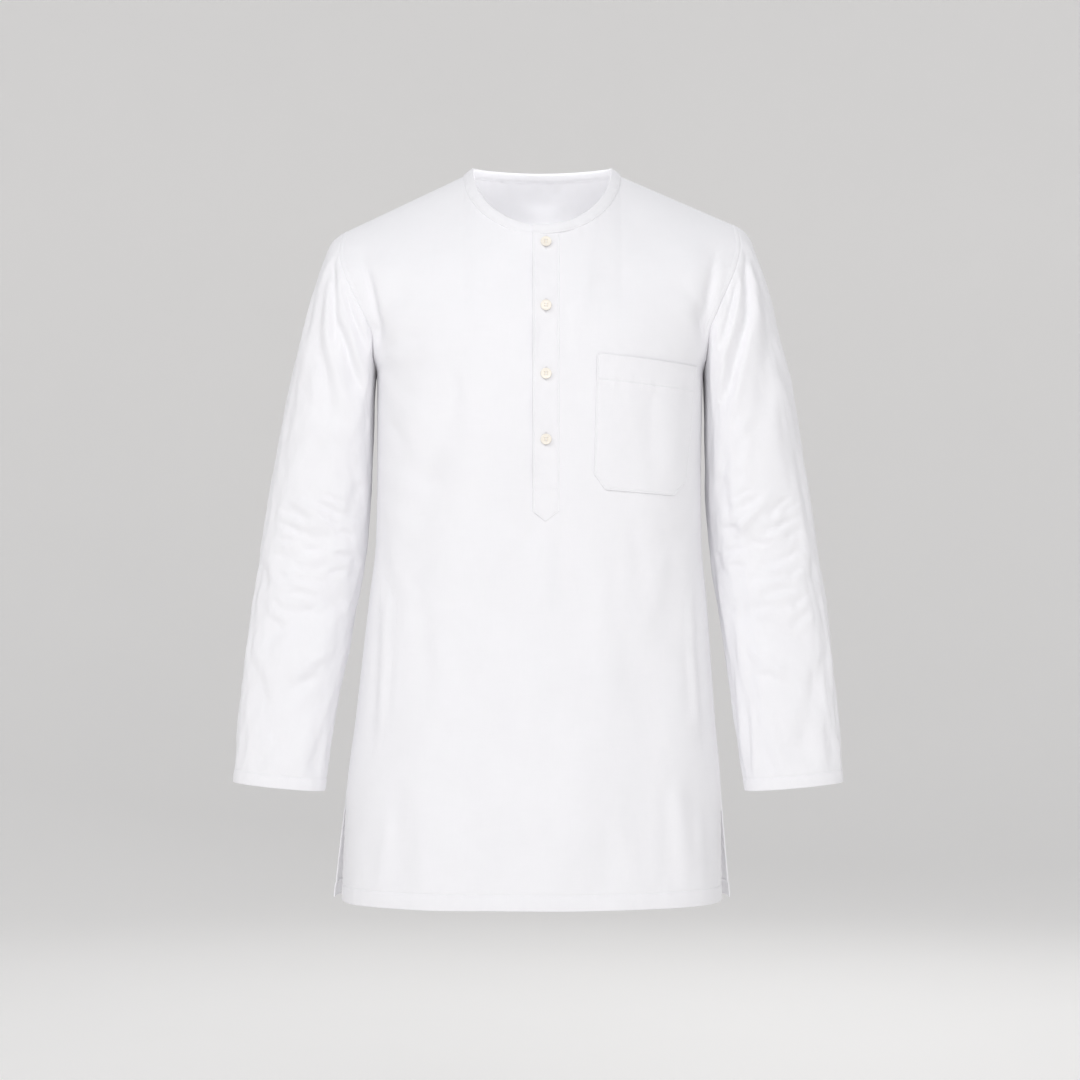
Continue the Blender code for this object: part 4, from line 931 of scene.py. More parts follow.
def round_edge(thickness, run):
    """Half thickness that draws in to nothing at a folded edge, by a quarter circle."""
    half = thickness / 2.0
    inside = np.clip(run / half, 0.0, 1.0)
    return half * np.sqrt(np.clip(1.0 - (1.0 - inside) ** 2, 0.0, 1.0)) + EDGE_LEFT


def cloth_size(name):
    """One of the sizes in the cloth's settings."""
    return getattr(bpy.context.scene.tunic_cloth, name)


def hem_doubling(run, hem):
    """Thickness that the turned part of a hem adds to the cloth."""
    return HEM_DOUBLING * cloth_size("thickness") * ease((hem - run) / HEM_STEP)


def cloth_wall(points, normals, level, thickness, free_run):
    """Outer and inner faces of cloth along a grid of points: the outer one stands at a level, and both
    draw together where the run from a free edge is short."""
    half = round_edge(thickness, free_run)[..., None]
    middle = points + normals * (level - thickness / 2.0)[..., None]
    return middle + normals * half, middle - normals * half


def side_runs(points):
    """Distance of every grid point from the nearer of the grid's two side edges."""
    return np.minimum(edge_runs(points, axis=1), edge_runs(points, from_start=False, axis=1))


@functools.lru_cache(maxsize=None)
def sleeve_shape(hand):
    """Outer points and normals of a sleeve's plain form on its full grid."""
    turns = sleeve_turns(ARMHOLE_STEPS)
    spans = near_edge(hem_spans(cloth_size("cuff_hem")), SLEEVE_RUN / SLEEVE_RINGS, SLEEVE_RUN)
    share = 1.0 - spans[::-1] / SLEEVE_RUN
    share[0] = 0.0
    points = sleeve_points(hand, share[:, None] + 0.0 * turns[None, :], turns[None, :] + 0.0 * share[:, None])
    normals = grid_normals(points, wraps=True)
    middle = points.mean(axis=1, keepdims=True)
    outward = np.sum(normals * (points - middle), axis=-1, keepdims=True)
    return points, np.where(outward < 0.0, -normals, normals)


@functools.lru_cache(maxsize=None)
def armhole_frames(hand):
    """For each side, the armhole seam from armpit to shoulder tip and the normals that the body and the
    sleeve share there, halfway between their own."""
    frames = {}
    turns = sleeve_turns(ARMHOLE_STEPS)
    _, normals = sleeve_shape(hand)
    by_turn = {round(float(t), 6): n for t, n in zip(turns, normals[1])}
    for side in (-1, 1):
        up = np.linspace(0.0, 1.0, ARMHOLE_STEPS + 1)
        x, z = yoke_places(side, np.array([BESIDE_ARMHOLE, 1.0])[None, :] * hand, up[:, None])
        patch = body_points(side, x, z)
        body = grid_normals(patch)[:, 1] * (-side)
        body = body * np.sign(body[:, 1:2] * side + 1e-9)
        seam = patch[:, 1].copy()
        seam[[0, -1], 1] = 0.0
        keys = [round(float(t if side < 0 or t > np.pi - 1e-6 else -t), 6) for t in np.pi * (1.0 - up)]
        sleeve = np.array([by_turn[k if k in by_turn else round(-k, 6)] for k in keys])
        shared = unit(body + sleeve)
        shared[0] = (0.0, 0.0, -1.0)
        shared[-1] = unit(np.array([hand * float(shoulder_slope(np.array(hand))) * TIP_LEAN, 0.0, 1.0]))
        frames[side] = (seam, shared)
    return frames


def slash_places():
    """Grid places of the two edges of the slash."""
    width = body_size("front_half_width", np.array(ARMPIT_Z))
    return np.arcsin((SLASH_X + np.array([-0.5, 0.5]) * SLASH_WIDTH) / width) * 2.0 / np.pi


def panel_columns(side):
    """Grid places across a panel: close at the slit hems, one exactly at each high shoulder point, and on
    the front one at each edge of the slash."""
    neck = float(neck_share())
    places = np.linspace(neck, 1.0, 4001)
    z = np.full_like(places, PANEL_SAMPLE_Z)
    runs = edge_runs(body_points(side, level_x(side, places, z), z), from_start=False)
    spans = near_edge(hem_spans(cloth_size("slit_hem")), PANEL_STEP[side], runs[0])
    outer = np.interp(spans, runs[::-1], places[::-1])[::-1]
    outer[0] = neck
    outer[-1] = 1.0
    inner = np.linspace(-neck, neck, 2 * PANEL_NECK_STEPS[side] + 1)
    across = np.concatenate([-outer[::-1], inner[1:-1], outer])
    if side < 0:
        slash = slash_places()
        keep = (across < slash[0] - SLASH_CLEAR) | (across > slash[1] + SLASH_CLEAR)
        across = np.sort(np.concatenate([across[keep], slash]))
    return across


@functools.lru_cache(maxsize=None)
def panel_shape(side):
    """Front or back on its full grid: places across it, outer points and normals before the relief of
    hems and seams, and how many rows lie below the armholes. Rows go up from the hem, and columns from
    the wearer's right to left."""
    across = panel_columns(side)
    skirt_z = HEM_Z + near_edge(hem_spans(cloth_size("bottom_hem")), PANEL_ROW_STEP, ARMPIT_Z - HEM_Z)
    up = np.linspace(0.0, 1.0, ARMHOLE_STEPS + 1)[1:]
    low_z = skirt_z[:, None] + 0.0 * across[None, :]
    low_x = level_x(side, across[None, :], low_z)
    high_x, high_z = yoke_places(side, across[None, :], up[:, None])
    outer = body_points(side, np.concatenate([low_x, high_x]), np.concatenate([low_z, high_z]))
    normals = grid_normals(outer) * (1.0 if side < 0 else -1.0)
    low_rows = len(skirt_z)
    above_slit = skirt_z > SLIT_TOP_Z
    normals[:low_rows][above_slit, 0] = (-1.0, 0.0, 0.0)
    normals[:low_rows][above_slit, -1] = (1.0, 0.0, 0.0)
    in_shoulder = np.abs(across) > float(neck_share()) - 1e-9
    top = np.stack([np.sign(across) * shoulder_slope(across), 0.0 * across, 1.0 + 0.0 * across], -1)
    normals[-1, in_shoulder] = unit(top)[in_shoulder]
    for hand, col in ((-1, 0), (1, -1)):
        seam, shared = armhole_frames(hand)[side]
        rows = slice(low_rows - 1, low_rows + ARMHOLE_STEPS)
        outer[rows, col] = seam
        outer[low_rows - 1, col, 1] = 0.0
        outer[-1, col, 1] = 0.0
        normals[rows, col] = shared
    return across, outer, normals, low_rows


@functools.lru_cache(maxsize=None)
def panel_wall(side):
    """Outer and inner faces of the front or back with hems, seam grooves and ripples, and its UV."""
    across, outer, normals, _ = panel_shape(side)
    hem = cloth_size("bottom_hem")
    slit_hem = cloth_size("slit_hem")
    up_run = edge_runs(outer, axis=0)
    top_run = edge_runs(outer, from_start=False, axis=0)
    side_run = side_runs(outer)
    u = edge_runs(outer, axis=1)
    u = u - u[:, [len(across) // 2]]
    z = outer[..., 2]
    in_slit = ease((SLIT_TOP_Z - z) / SLIT_FADE)
    in_armhole = ease((z - ARMPIT_Z) / ARMHOLE_FADE)
    in_side_seam = (1.0 - in_slit) * (1.0 - in_armhole)
    in_neck = np.abs(across)[None, :] < float(neck_share()) - 1e-9
    seed = PANEL_SEEDS[side]
    hems = hem_relief(up_run, u, hem, seed)
    hems = hems + in_slit * hem_relief(side_run, z, slit_hem, seed + 1) * ease(up_run / ABOVE_HEM_FADE)
    side_seam = groove(side_run, 0.0, SEAM_GROOVE) * in_side_seam * ease((z - SLIT_TOP_Z) / SEAM_END_FADE)
    armhole = groove(side_run, 0.0, ARMHOLE_GROOVE) + felled(side_run, ARMHOLE_FELL)
    armhole = armhole + groove(side_run, ARMHOLE_GROOVE_RUN, ARMHOLE_STITCH_GROOVE)
    armhole = armhole + ripples(z, side_run, seed + 2, SIDE_RIPPLES) * ease(side_run / BODY_HEAD_FADE)
    shoulder = groove(top_run, 0.0, SHOULDER_GROOVE) + felled(top_run, SHOULDER_FELL)
    top = np.where(in_neck, ripples(u, top_run, seed + 3, NECK_RIPPLES), shoulder)
    level = hems + side_seam + armhole * in_armhole + top
    thick = cloth_size("thickness") + np.maximum(
        hem_doubling(up_run, hem), hem_doubling(side_run, slit_hem) * in_slit
    )
    free_run = np.minimum(up_run, np.where(in_slit > 0.5, side_run, 1.0))
    front, behind = cloth_wall(outer, normals, level, thick, free_run)
    return front, behind, normals, np.stack([u, up_run], axis=-1)


@functools.lru_cache(maxsize=None)
def sleeve_wall(hand):
    """Outer and inner faces of a sleeve with its cuff hem, seam grooves and ripples, and its UV."""
    points, normals = (grid.copy() for grid in sleeve_shape(hand))
    for number, turn in enumerate(sleeve_turns(ARMHOLE_STEPS)):
        row = int(round((1.0 - abs(turn) / np.pi) * ARMHOLE_STEPS))
        seam, shared = armhole_frames(hand)[-1 if turn >= 0.0 else 1]
        points[0, number] = seam[row]
        normals[0, number] = shared[row]
    hem = cloth_size("cuff_hem")
    cuff_run = edge_runs(points, from_start=False, axis=0)
    head_run = edge_runs(points, axis=0)
    u = edge_runs(np.concatenate([points, points[:, :1]], axis=1), axis=1)
    around = u[:, :-1]
    under_run = np.minimum(u, u[:, -1:] - u)[:, :-1]
    seed = SLEEVE_SEEDS[hand]
    level = hem_relief(cuff_run, around, hem, seed)
    level = level + groove(under_run, 0.0, SEAM_GROOVE) * ease(head_run / SEAM_END_FADE)
    level = level + groove(head_run, 0.0, ARMHOLE_GROOVE)
    head_ripples = ripples(around, head_run, seed + 1, SLEEVE_HEAD_RIPPLES)
    level = level + head_ripples * ease(head_run / SLEEVE_HEAD_FADE)
    thick = cloth_size("thickness") + hem_doubling(cuff_run, hem)
    outer, inner = cloth_wall(points, normals, level, thick, cuff_run)
    v = np.concatenate([head_run, head_run[:, :1]], axis=1)
    return outer, inner, normals, np.stack([u, -v], axis=-1)


def mesh_piece(name, vertices, face_groups, material, corner_groups=None, sharp=50.0):
    """One mesh object from an array of vertices and arrays of faces, with a UV for every face corner."""
    used, flat = np.unique(np.concatenate([np.ravel(f) for f in face_groups]), return_inverse=True)
    faces = []
    start = 0
    for group in face_groups:
        faces.extend(flat[start:start + group.size].reshape(group.shape).tolist())
        start += group.size
    mesh = bpy.data.meshes.new(name)
    mesh.from_pydata(vertices[used].tolist(), [], faces)
    if corner_groups is not None:
        layer = mesh.uv_layers.new(name="cloth")
        corners = np.concatenate([np.reshape(c, (-1, 2)) for c in corner_groups])
        layer.data.foreach_set("uv", corners.astype(np.float32).ravel())
    mesh.shade_smooth()
    mesh.set_sharp_from_angle(angle=np.radians(sharp))
    mesh.materials.append(material)
    piece = bpy.data.objects.new(name, mesh)
    bpy.context.scene.collection.objects.link(piece)
    return piece


def grid_quads(rows, columns, wraps=False):
    """Corner numbers of every cell of a grid of points, row by row: four to a cell, in a ring. A grid that
    wraps has one more cell in a row, between its last column and its first."""
    steps = columns if wraps else columns - 1
    row, col = np.meshgrid(np.arange(rows - 1), np.arange(steps), indexing="ij")
    corner_rows = np.stack([row, row, row + 1, row + 1], axis=-1)
    corner_cols = np.stack([col, col + 1, col + 1, col], axis=-1)
    return corner_rows * columns + corner_cols % columns


def faces_in(vertices, quad, behind):
    """Whether a face looks towards a point that lies behind it."""
    first = vertices[quad[0]]
    facing = np.cross(vertices[quad[1]] - first, vertices[quad[3]] - first)
    return np.dot(facing, first - behind) < 0.0


def cloth_piece(name, outer, inner, uv, material, wraps=False, cells=None):
    """A closed wall of cloth between two grids: quads over both faces, and a rim along every edge of the
    cells that are kept. The UV grid of a tube has one more column than its points."""
    rows, columns = outer.shape[:2]
    count = rows * columns
    spots = grid_quads(rows, columns, wraps)
    uv_spots = grid_quads(rows, uv.shape[1])
    keep = np.ones(spots.shape[:2], dtype=bool) if cells is None else cells
    quads = [spots[keep], spots[keep][:, ::-1] + count]
    uv_quads = [uv_spots[keep], uv_spots[keep][:, ::-1]]
    framed = np.pad(keep, 1)
    if wraps:
        framed[:, 0] = framed[:, -2]
        framed[:, -1] = framed[:, 1]
    beside = (framed[:-2, 1:-1], framed[1:-1, 2:], framed[2:, 1:-1], framed[1:-1, :-2])
    for start, neighbour in enumerate(beside):
        rim = keep & ~neighbour
        ends = [start, (start + 1) % 4]
        a, b = spots[rim][:, ends].T
        quads.append(np.stack([a, a + count, b + count, b], axis=-1))
        uv_quads.append(uv_spots[rim][:, [ends[0], ends[0], ends[1], ends[1]]])
    quads = np.concatenate(quads)
    corners = uv.reshape(-1, 2)[np.concatenate(uv_quads)]
    vertices = np.concatenate([outer.reshape(-1, 3), inner.reshape(-1, 3)])
    trial = quads[np.count_nonzero(keep) // 2]
    if faces_in(vertices, trial, vertices[trial[0] + count]):
        quads = quads[:, ::-1]
        corners = corners[:, ::-1]
    return mesh_piece(name, vertices, [quads], material, [corners])


def sheet_piece(name, points, normals, level, thickness, free_run, material):
    """A closed wall of cloth that lies along a grid of points on the front."""
    u = edge_runs(points, axis=1)
    uv = np.stack([u - u[:, [u.shape[1] // 2]], edge_runs(points, axis=0)], axis=-1)
    outer, inner = cloth_wall(points, normals, level, thickness, free_run)
    return cloth_piece(name, outer, inner, uv, material)


def laid_points(x, z):
    """Points and outward normals of the front's cloth under a piece that lies on it."""
    points = body_points(-1, x, z)
    normals = grid_normals(points)
    return points, normals * np.where(normals[..., 1:2] > 0.0, -1.0, 1.0)


def line_at(points, normals, runs, distance, axis, keep=slice(None)):
    """A line on a grid at one distance from an edge: a point and a normal for each kept row or column."""
    if axis == 0:
        points = points.swapaxes(0, 1)
        normals = normals.swapaxes(0, 1)
        runs = runs.swapaxes(0, 1)
    if runs[0, 0] > runs[0, -1]:
        points = points[:, ::-1]
        normals = normals[:, ::-1]
        runs = runs[:, ::-1]
    after = np.clip(np.argmax(runs >= distance, axis=1), 1, runs.shape[1] - 1)[:, None]
    low = np.take_along_axis(runs, after - 1, axis=1)
    high = np.take_along_axis(runs, after, axis=1)
    share = ((distance - low) / (high - low))[..., None]

    def between(values):
        first = np.take_along_axis(values, (after - 1)[..., None], axis=1)
        second = np.take_along_axis(values, after[..., None], axis=1)
        return (first + (second - first) * share)[:, 0]

    return between(points)[keep], unit(between(normals))[keep]


def stitch_row(line):
    """Places of the stitches along a line on the cloth: middle, half length as a vector, and normal."""
    points, normals = line
    pitch = cloth_size("stitch_pitch")
    runs = np.concatenate([[0.0], np.cumsum(np.linalg.norm(np.diff(points, axis=0), axis=1))])
    count = max(int(runs[-1] / pitch), 1)
    at = (np.arange(count) + 0.5) * runs[-1] / count
    half = STITCH_SHARE * pitch / 2.0

    def place(values, where):
        return np.stack([np.interp(where, runs, values[:, axis]) for axis in range(3)], axis=-1)

    along = place(points, at + half) - place(points, at - half)
    return place(points, at), unit(along) * half, unit(place(normals, at))


def thread_piece(name, rows, material, radius=None):
    """Stitches as small closed beads of thread: rings of THREAD_SIDES points whose radius swells and
    sinks along each stitch, half sunk into the cloth."""
    radius = radius or cloth_size("thread_radius")
    middle, half, normal = (np.concatenate([row[number] for row in rows]) for number in range(3))
    beside = unit(np.cross(half, normal))
    angles = (2.0 * np.pi * np.arange(THREAD_SIDES) / THREAD_SIDES)[:, None]
    ring = np.cos(angles) * beside[:, None, None, :] + np.sin(angles) * normal[:, None, None, :]
    spots = [middle[:, None] - half[:, None]]
    for along, swell in THREAD_PROFILE:
        sink = normal * radius * THREAD_ARCH * (1.0 - along**2)
        centre = middle + half * along + sink
        spots.append(centre[:, None] + radius * swell * ring[:, 0])
    spots.append(middle[:, None] + half[:, None])
    vertices = np.concatenate(spots, axis=1)
    last = 1 + len(THREAD_PROFILE) * THREAD_SIDES
    side = np.arange(THREAD_SIDES)
    after = (side + 1) % THREAD_SIDES
    first_fan = np.stack([0 * side, 1 + after, 1 + side], axis=-1)
    last_fan = np.stack([0 * side + last, last - THREAD_SIDES + side, last - THREAD_SIDES + after], axis=-1)
    fans = np.concatenate([first_fan, last_fan])
    quads = np.concatenate([
        np.stack([side, after, after + THREAD_SIDES, side + THREAD_SIDES], axis=-1) + 1 + level * THREAD_SIDES
        for level in range(len(THREAD_PROFILE) - 1)
    ])
    shift = (np.arange(len(middle)) * vertices.shape[1])[:, None, None]
    groups = [(fans[None] + shift).reshape(-1, 3), (quads[None] + shift).reshape(-1, 4)]
    return mesh_piece(name, vertices.reshape(-1, 3), groups, material, sharp=180.0)


def dress(piece, slot, *nodes):
    """What every piece of the tunic goes through: it rides on the one body and stands for its CAD nodes,
    which it hides. The slot is not used."""
    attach(piece, "root")
    if nodes:
        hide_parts(*nodes)
    return piece


def neck_loop(half_width, side_z, front_drop, back_rise, turns):
    """A line round the neck: turn 0 is the front centre, pi the back centre."""
    x = NECK_CENTRE_X + half_width * np.sin(turns)
    is_front = np.cos(turns) >= 0.0
    z = np.where(is_front, side_z - front_drop * np.cos(turns), side_z - back_rise * np.cos(turns))
    return np.where(is_front[..., None], body_points(-1, x, z), body_points(1, x, z))


def neck_seam_z(x):
    """Height of the neck seam on the front: half an ellipse."""
    share = (x - NECK_CENTRE_X) / NECK_HALF_WIDTH
    return NECK_SIDE_Z - NECK_FRONT_DROP * np.sqrt(1.0 - share**2)


@functools.lru_cache(maxsize=None)
def neckband_shape():
    """Rings of the neckband along its turns: a flat tube with rounded folds between the neck seam and the
    opening's edge, risen at its over end and dropped at its under end. Also its stitch lines."""
    lap = np.arcsin((PLACKET_LEFT_X - NECK_CENTRE_X) / NECK_HALF_WIDTH)
    under = np.arcsin((PLACKET_RIGHT_X - UNDER_PLACKET_INSET - NECK_CENTRE_X) / NECK_HALF_WIDTH)
    turns = np.linspace(lap, 2.0 * np.pi + under, BAND_STEPS)
    wrapped = np.arctan2(np.sin(turns), np.cos(turns))
    seam = neck_loop(NECK_HALF_WIDTH, NECK_SIDE_Z, NECK_FRONT_DROP, NECK_BACK_RISE, wrapped)
    side_edge_z = float(shoulder_z(np.array(NECK_CENTRE_X + BAND_EDGE_HALF_WIDTH)))
    edge = neck_loop(BAND_EDGE_HALF_WIDTH, side_edge_z, BAND_EDGE_FRONT_DROP, BAND_EDGE_BACK_RISE, wrapped)
    direction = unit(edge - seam)
    width = np.linalg.norm(edge - seam, axis=-1, keepdims=True)
    base = np.stack([seam, (seam + edge) / 2.0, edge])
    normals = grid_normals(base)
    normals = normals * np.sign(np.sum(normals * base * (1.0, 1.0, 0.0), -1, keepdims=True) + 1e-9)
    normals = normals[1]
    over = ease((LAP_START - turns) / LAP_RUN)
    below = ease((turns - 2.0 * np.pi + UNDER_START) / LAP_RUN)
    level = BAND_LEVEL + LAP_RISE * over - UNDER_DROP * below
    run = np.concatenate([[0.0], np.cumsum(np.linalg.norm(np.diff(seam, axis=0), axis=1))])
    angles = 2.0 * np.pi * np.arange(BAND_SIDES) / BAND_SIDES
    flat = np.sign(np.cos(angles)) * np.abs(np.cos(angles)) ** BAND_ROUNDNESS[0]
    thick = np.sign(np.sin(angles)) * np.abs(np.sin(angles)) ** BAND_ROUNDNESS[1]
    half = (width + BAND_OVERLAP) / 2.0
    centre = seam + direction * (half - BAND_OVERLAP) + normals * (level - BAND_CLOTH / 2.0)[:, None]
    up = half * (1.0 + flat[None, :])
    puff = BAND_PUFF * np.sin(np.pi * np.clip(up / (2.0 * half), 0.0, 1.0))
    relief = (groove(up, BAND_STITCH, BAND_GROOVE) + puff) * np.abs(thick[None, :])
    rippled = ripples(run[:, None], up, BAND_SEED, BAND_RIPPLES)
    out = thick[None, :] * (BAND_CLOTH / 2.0 + relief) + rippled
    rings = centre[:, None] + direction[:, None] * (half * flat[None, :])[..., None]
    rings = rings + normals[:, None] * out[..., None]
    lines = []
    for face in (1.0, -1.0):
        lift = level - BAND_CLOTH / 2.0 + face * (BAND_CLOTH / 2.0 - THREAD_SINK)
        line = seam + direction * (BAND_STITCH - BAND_OVERLAP) + normals * lift[:, None]
        lines.append((line, face * normals))
    return rings, run, lines


def make_neckband(material):
    """Neckband: a narrow folded binding round the collarless neck, with a row of stitches on each face."""
    rings, run, _ = neckband_shape()
    rows, sides = rings.shape[:2]
    around = np.linspace(0.0, 2.0 * (BAND_CLOTH + BAND_WIDTH), sides + 1)
    uv = np.stack(np.broadcast_arrays(run[:, None], around[None, :]), axis=-1).reshape(-1, 2)
    quads = grid_quads(rows, sides, wraps=True).reshape(-1, 4)
    corners = uv[grid_quads(rows, sides + 1).reshape(-1, 4)]
    caps = np.stack([np.arange(sides)[::-1], np.arange(sides) + (rows - 1) * sides])
    cap_corners = uv[np.stack([np.arange(sides)[::-1], np.arange(sides) + (rows - 1) * (sides + 1)])]
    vertices = rings.reshape(-1, 3)
    if faces_in(vertices, quads[0], rings[0].mean(axis=0)):
        quads, corners = quads[:, ::-1], corners[:, ::-1]
        caps, cap_corners = caps[:, ::-1], cap_corners[:, ::-1]
    return mesh_piece("neckband_cloth", vertices, [quads, caps], material, [corners, cap_corners], sharp=60.0)


def placket_edges(left, right):
    """Columns across a strip, close together at its two folded edges."""
    width = right - left
    fold = STRIP_FOLD / width
    return np.concatenate([fold, np.linspace(fold[-1], 1.0 - fold[-1], 14)[1:-1], 1.0 - fold[::-1]])


@functools.lru_cache(maxsize=None)
def placket_shape():
    """The over strip of the placket on its grid, rows up from the pointed end, with its runs and levels.

    The lower edge is two straight lines that meet in the point. The open edge stands off a little between
    the buttons, and the sewn edge lies lower.
    """
    share = placket_edges(PLACKET_LEFT_X, PLACKET_RIGHT_X)[None, :]
    x = PLACKET_LEFT_X + (PLACKET_RIGHT_X - PLACKET_LEFT_X) * share
    tip = (PLACKET_TIP_X - PLACKET_LEFT_X) / (PLACKET_RIGHT_X - PLACKET_LEFT_X)
    to_tip = np.where(share < tip, share / tip, (1.0 - share) / (1.0 - tip))
    low = PLACKET_SHOULDER_Z + (PLACKET_TIP_Z - PLACKET_SHOULDER_Z) * to_tip
    high = neck_seam_z(x) + PLACKET_UNDER_BAND
    length = NECK_SIDE_Z - NECK_FRONT_DROP - PLACKET_TIP_Z
    up = near_edge(PATCH_FOLD, PLACKET_ROW_STEP, length)[:, None] / length
    z = low + (high - low) * up
    x = x + 0.0 * z
    points, normals = laid_points(x, z)
    left_run = edge_runs(points, axis=1)
    right_run = edge_runs(points, from_start=False, axis=1)
    low_run = edge_runs(points, axis=0) * PLACKET_POINT_SLANT
    edge_run = np.minimum(left_run, right_run)
    apart = np.min([np.abs(z - button) for button in BUTTON_Z], axis=0)
    stand = PLACKET_STAND * ease((apart - STAND_CLEAR) / STAND_RUN) * ease((z - STAND_LOW_Z) / STAND_RUN)
    stand = stand * np.exp(-((left_run / STAND_REACH) ** 2))
    level = PLACKET_LEVEL - PLACKET_SINK * ease(share) + stand
    level = level + groove(edge_run, PLACKET_STITCH, PLACKET_GROOVE)
    level = level + groove(low_run, PLACKET_STITCH, PLACKET_POINT_GROOVE)
    level = level + groove(z - PLACKET_END_LINE_Z, 0.0, PLACKET_END_GROOVE)
    level = level + ripples(z, edge_run, PLACKET_SEED, PLACKET_RIPPLES)
    level = level + pucker(z + PLACKET_PUCKER_LEAN * x, PLACKET_SEED + 1, PLACKET_RIPPLES[0])
    return points, normals, left_run, right_run, low_run, level, z


def placket_stitches():
    """Rows of stitches on the placket: both long edges, the point, and the line that ends its opening."""
    points, normals, left_run, right_run, low_run, level, z = placket_shape()
    raised = points + normals * level[..., None]
    middle = z[:, z.shape[1] // 2]
    top = neck_seam_z(np.array(SLASH_X)) - PLACKET_END_CLEAR
    upright = (middle > PLACKET_SHOULDER_Z + PLACKET_END_CLEAR) & (middle < top)
    inside = np.minimum(left_run, right_run)[40] > PLACKET_STITCH - 0.0001
    lines = (
        (left_run, PLACKET_STITCH, 1, upright), (right_run, PLACKET_STITCH, 1, upright),
        (low_run, PLACKET_STITCH, 0, inside), (z - PLACKET_END_LINE_Z, 0.0, 0, inside),
    )
    return [stitch_row(line_at(raised, normals, *line)) for line in lines]


def buttonhole_stitches():
    """Thread bars round each upright buttonhole: two close rows of short level bars."""
    rows = []
    for button in BUTTON_Z:
        heights = button + np.linspace(-BUTTONHOLE_HALF, BUTTONHOLE_HALF, BUTTONHOLE_BARS)
        for hand in (-1.0, 1.0):
            ends = BUTTON_X + hand * BUTTONHOLE_BESIDE + BUTTONHOLE_BAR * np.array([-1.0, 1.0])
            x = ends[None, :] + 0.0 * heights[:, None]
            points, normals = laid_points(x, heights[:, None] + 0.0 * x)
            raised = points + normals * (PLACKET_LEVEL + BUTTONHOLE_RISE)
            half = (raised[:, 1] - raised[:, 0]) / 2.0
            rows.append((raised.mean(axis=1), half, unit(normals.mean(axis=1))))
    return rows


def make_placket(material):
    """Placket: the over strip from the neckband to its pointed end."""
    points, normals, left_run, right_run, low_run, level, _ = placket_shape()
    free_run = np.minimum(np.minimum(left_run, right_run), low_run)
    return sheet_piece("placket_cloth", points, normals, level, PLACKET_CLOTH, free_run, material)


def make_placket_under(material):
    """Under placket: the strip behind the slash that carries the buttons."""
    left = PLACKET_LEFT_X + UNDER_PLACKET_INSET
    right = PLACKET_RIGHT_X - UNDER_PLACKET_INSET
    x = left + (right - left) * placket_edges(left, right)[None, :]
    high = neck_seam_z(x) - UNDER_PLACKET_CLEAR
    z = UNDER_PLACKET_END_Z + (high - UNDER_PLACKET_END_Z) * np.linspace(0.0, 1.0, 120)[:, None]
    points, normals = laid_points(x + 0.0 * z, z)
    free_run = np.minimum(side_runs(points), edge_runs(points, axis=0))
    level = INSIDE_LEVEL + 0.0 * free_run
    return sheet_piece("placket_under_cloth", points, normals, level, PLACKET_CLOTH, free_run, material)


def pocket_grid():
    """Shares across and up the chest pocket: close at its folded edges, its corners and its hem."""
    width, length = POCKET_SPAN
    fold = PATCH_FOLD / width
    across = np.concatenate([fold, np.linspace(fold[-1], 1.0 - fold[-1], 44)[1:-1], 1.0 - fold[::-1]])
    fold = PATCH_FOLD / length
    corner = 1.0 - POCKET_CUT_SHARE
    hem = 1.0 - POCKET_HEM / length + POCKET_HEM_SPANS / length
    up = np.concatenate([
        fold, np.linspace(fold[-1], corner, 8)[1:], np.linspace(corner, hem[0], 44)[1:-1],
        hem, np.linspace(hem[-1], 1.0 - fold[-1], 9)[1:-1], 1.0 - fold,
    ])
    return across[None, :], np.sort(up)[:, None]


@functools.lru_cache(maxsize=None)
def pocket_shape():
    """The chest pocket on its grid, rows up from the lower edge: a patch between two side lines whose
    lower parts are the cut corners. Its mouth stands a little open."""
    share, up = pocket_grid()
    upper = np.minimum((1.0 - up) / POCKET_CUT_SHARE, 1.0)
    lower = np.clip((1.0 - up - POCKET_CUT_SHARE) / (1.0 - POCKET_CUT_SHARE), 0.0, 1.0)

    def edge(top, low, end, axis):
        straight = top[axis] + (low[axis] - top[axis]) * upper
        return straight + (end[axis] - low[axis]) * lower

    inner_x, inner_z = (edge(POCKET_TOP_INNER, POCKET_LOW_INNER, POCKET_END_INNER, a) for a in (0, 1))
    outer_x, outer_z = (edge(POCKET_TOP_OUTER, POCKET_LOW_OUTER, POCKET_END_OUTER, a) for a in (0, 1))
    x = inner_x + (outer_x - inner_x) * share
    points, normals = laid_points(x, inner_z + (outer_z - inner_z) * share)
    across = edge_runs(points, axis=1)
    side_run = side_runs(points) * np.where(lower > 0.0, POCKET_CORNER_SLANT, 1.0)
    low_run = edge_runs(points, axis=0)
    top_run = edge_runs(points, from_start=False, axis=0)
    sewn_run = np.minimum(side_run, low_run)
    level = POCKET_LEVEL + groove(sewn_run, POCKET_STITCH, POCKET_GROOVE)
    level = level + groove(top_run, POCKET_HEM, POCKET_HEM_GROOVE)
    level = level + POCKET_HEM_RISE * ease((POCKET_HEM - top_run) / POCKET_HEM_STEP)
    bulge = np.sin(np.pi * share) ** 2
    level = level + POCKET_STAND * bulge * np.exp(-((top_run / POCKET_STAND_REACH) ** 2))
    level = level + ripples(low_run, side_run, POCKET_SEED, POCKET_SIDE_RIPPLES)
    level = level + ripples(across, top_run, POCKET_SEED + 1, POCKET_HEM_RIPPLES)
    level = level + ripples(across, low_run, POCKET_SEED + 2, POCKET_LOW_RIPPLES)
    return points, normals, low_run, top_run, np.minimum(sewn_run, top_run), level, lower


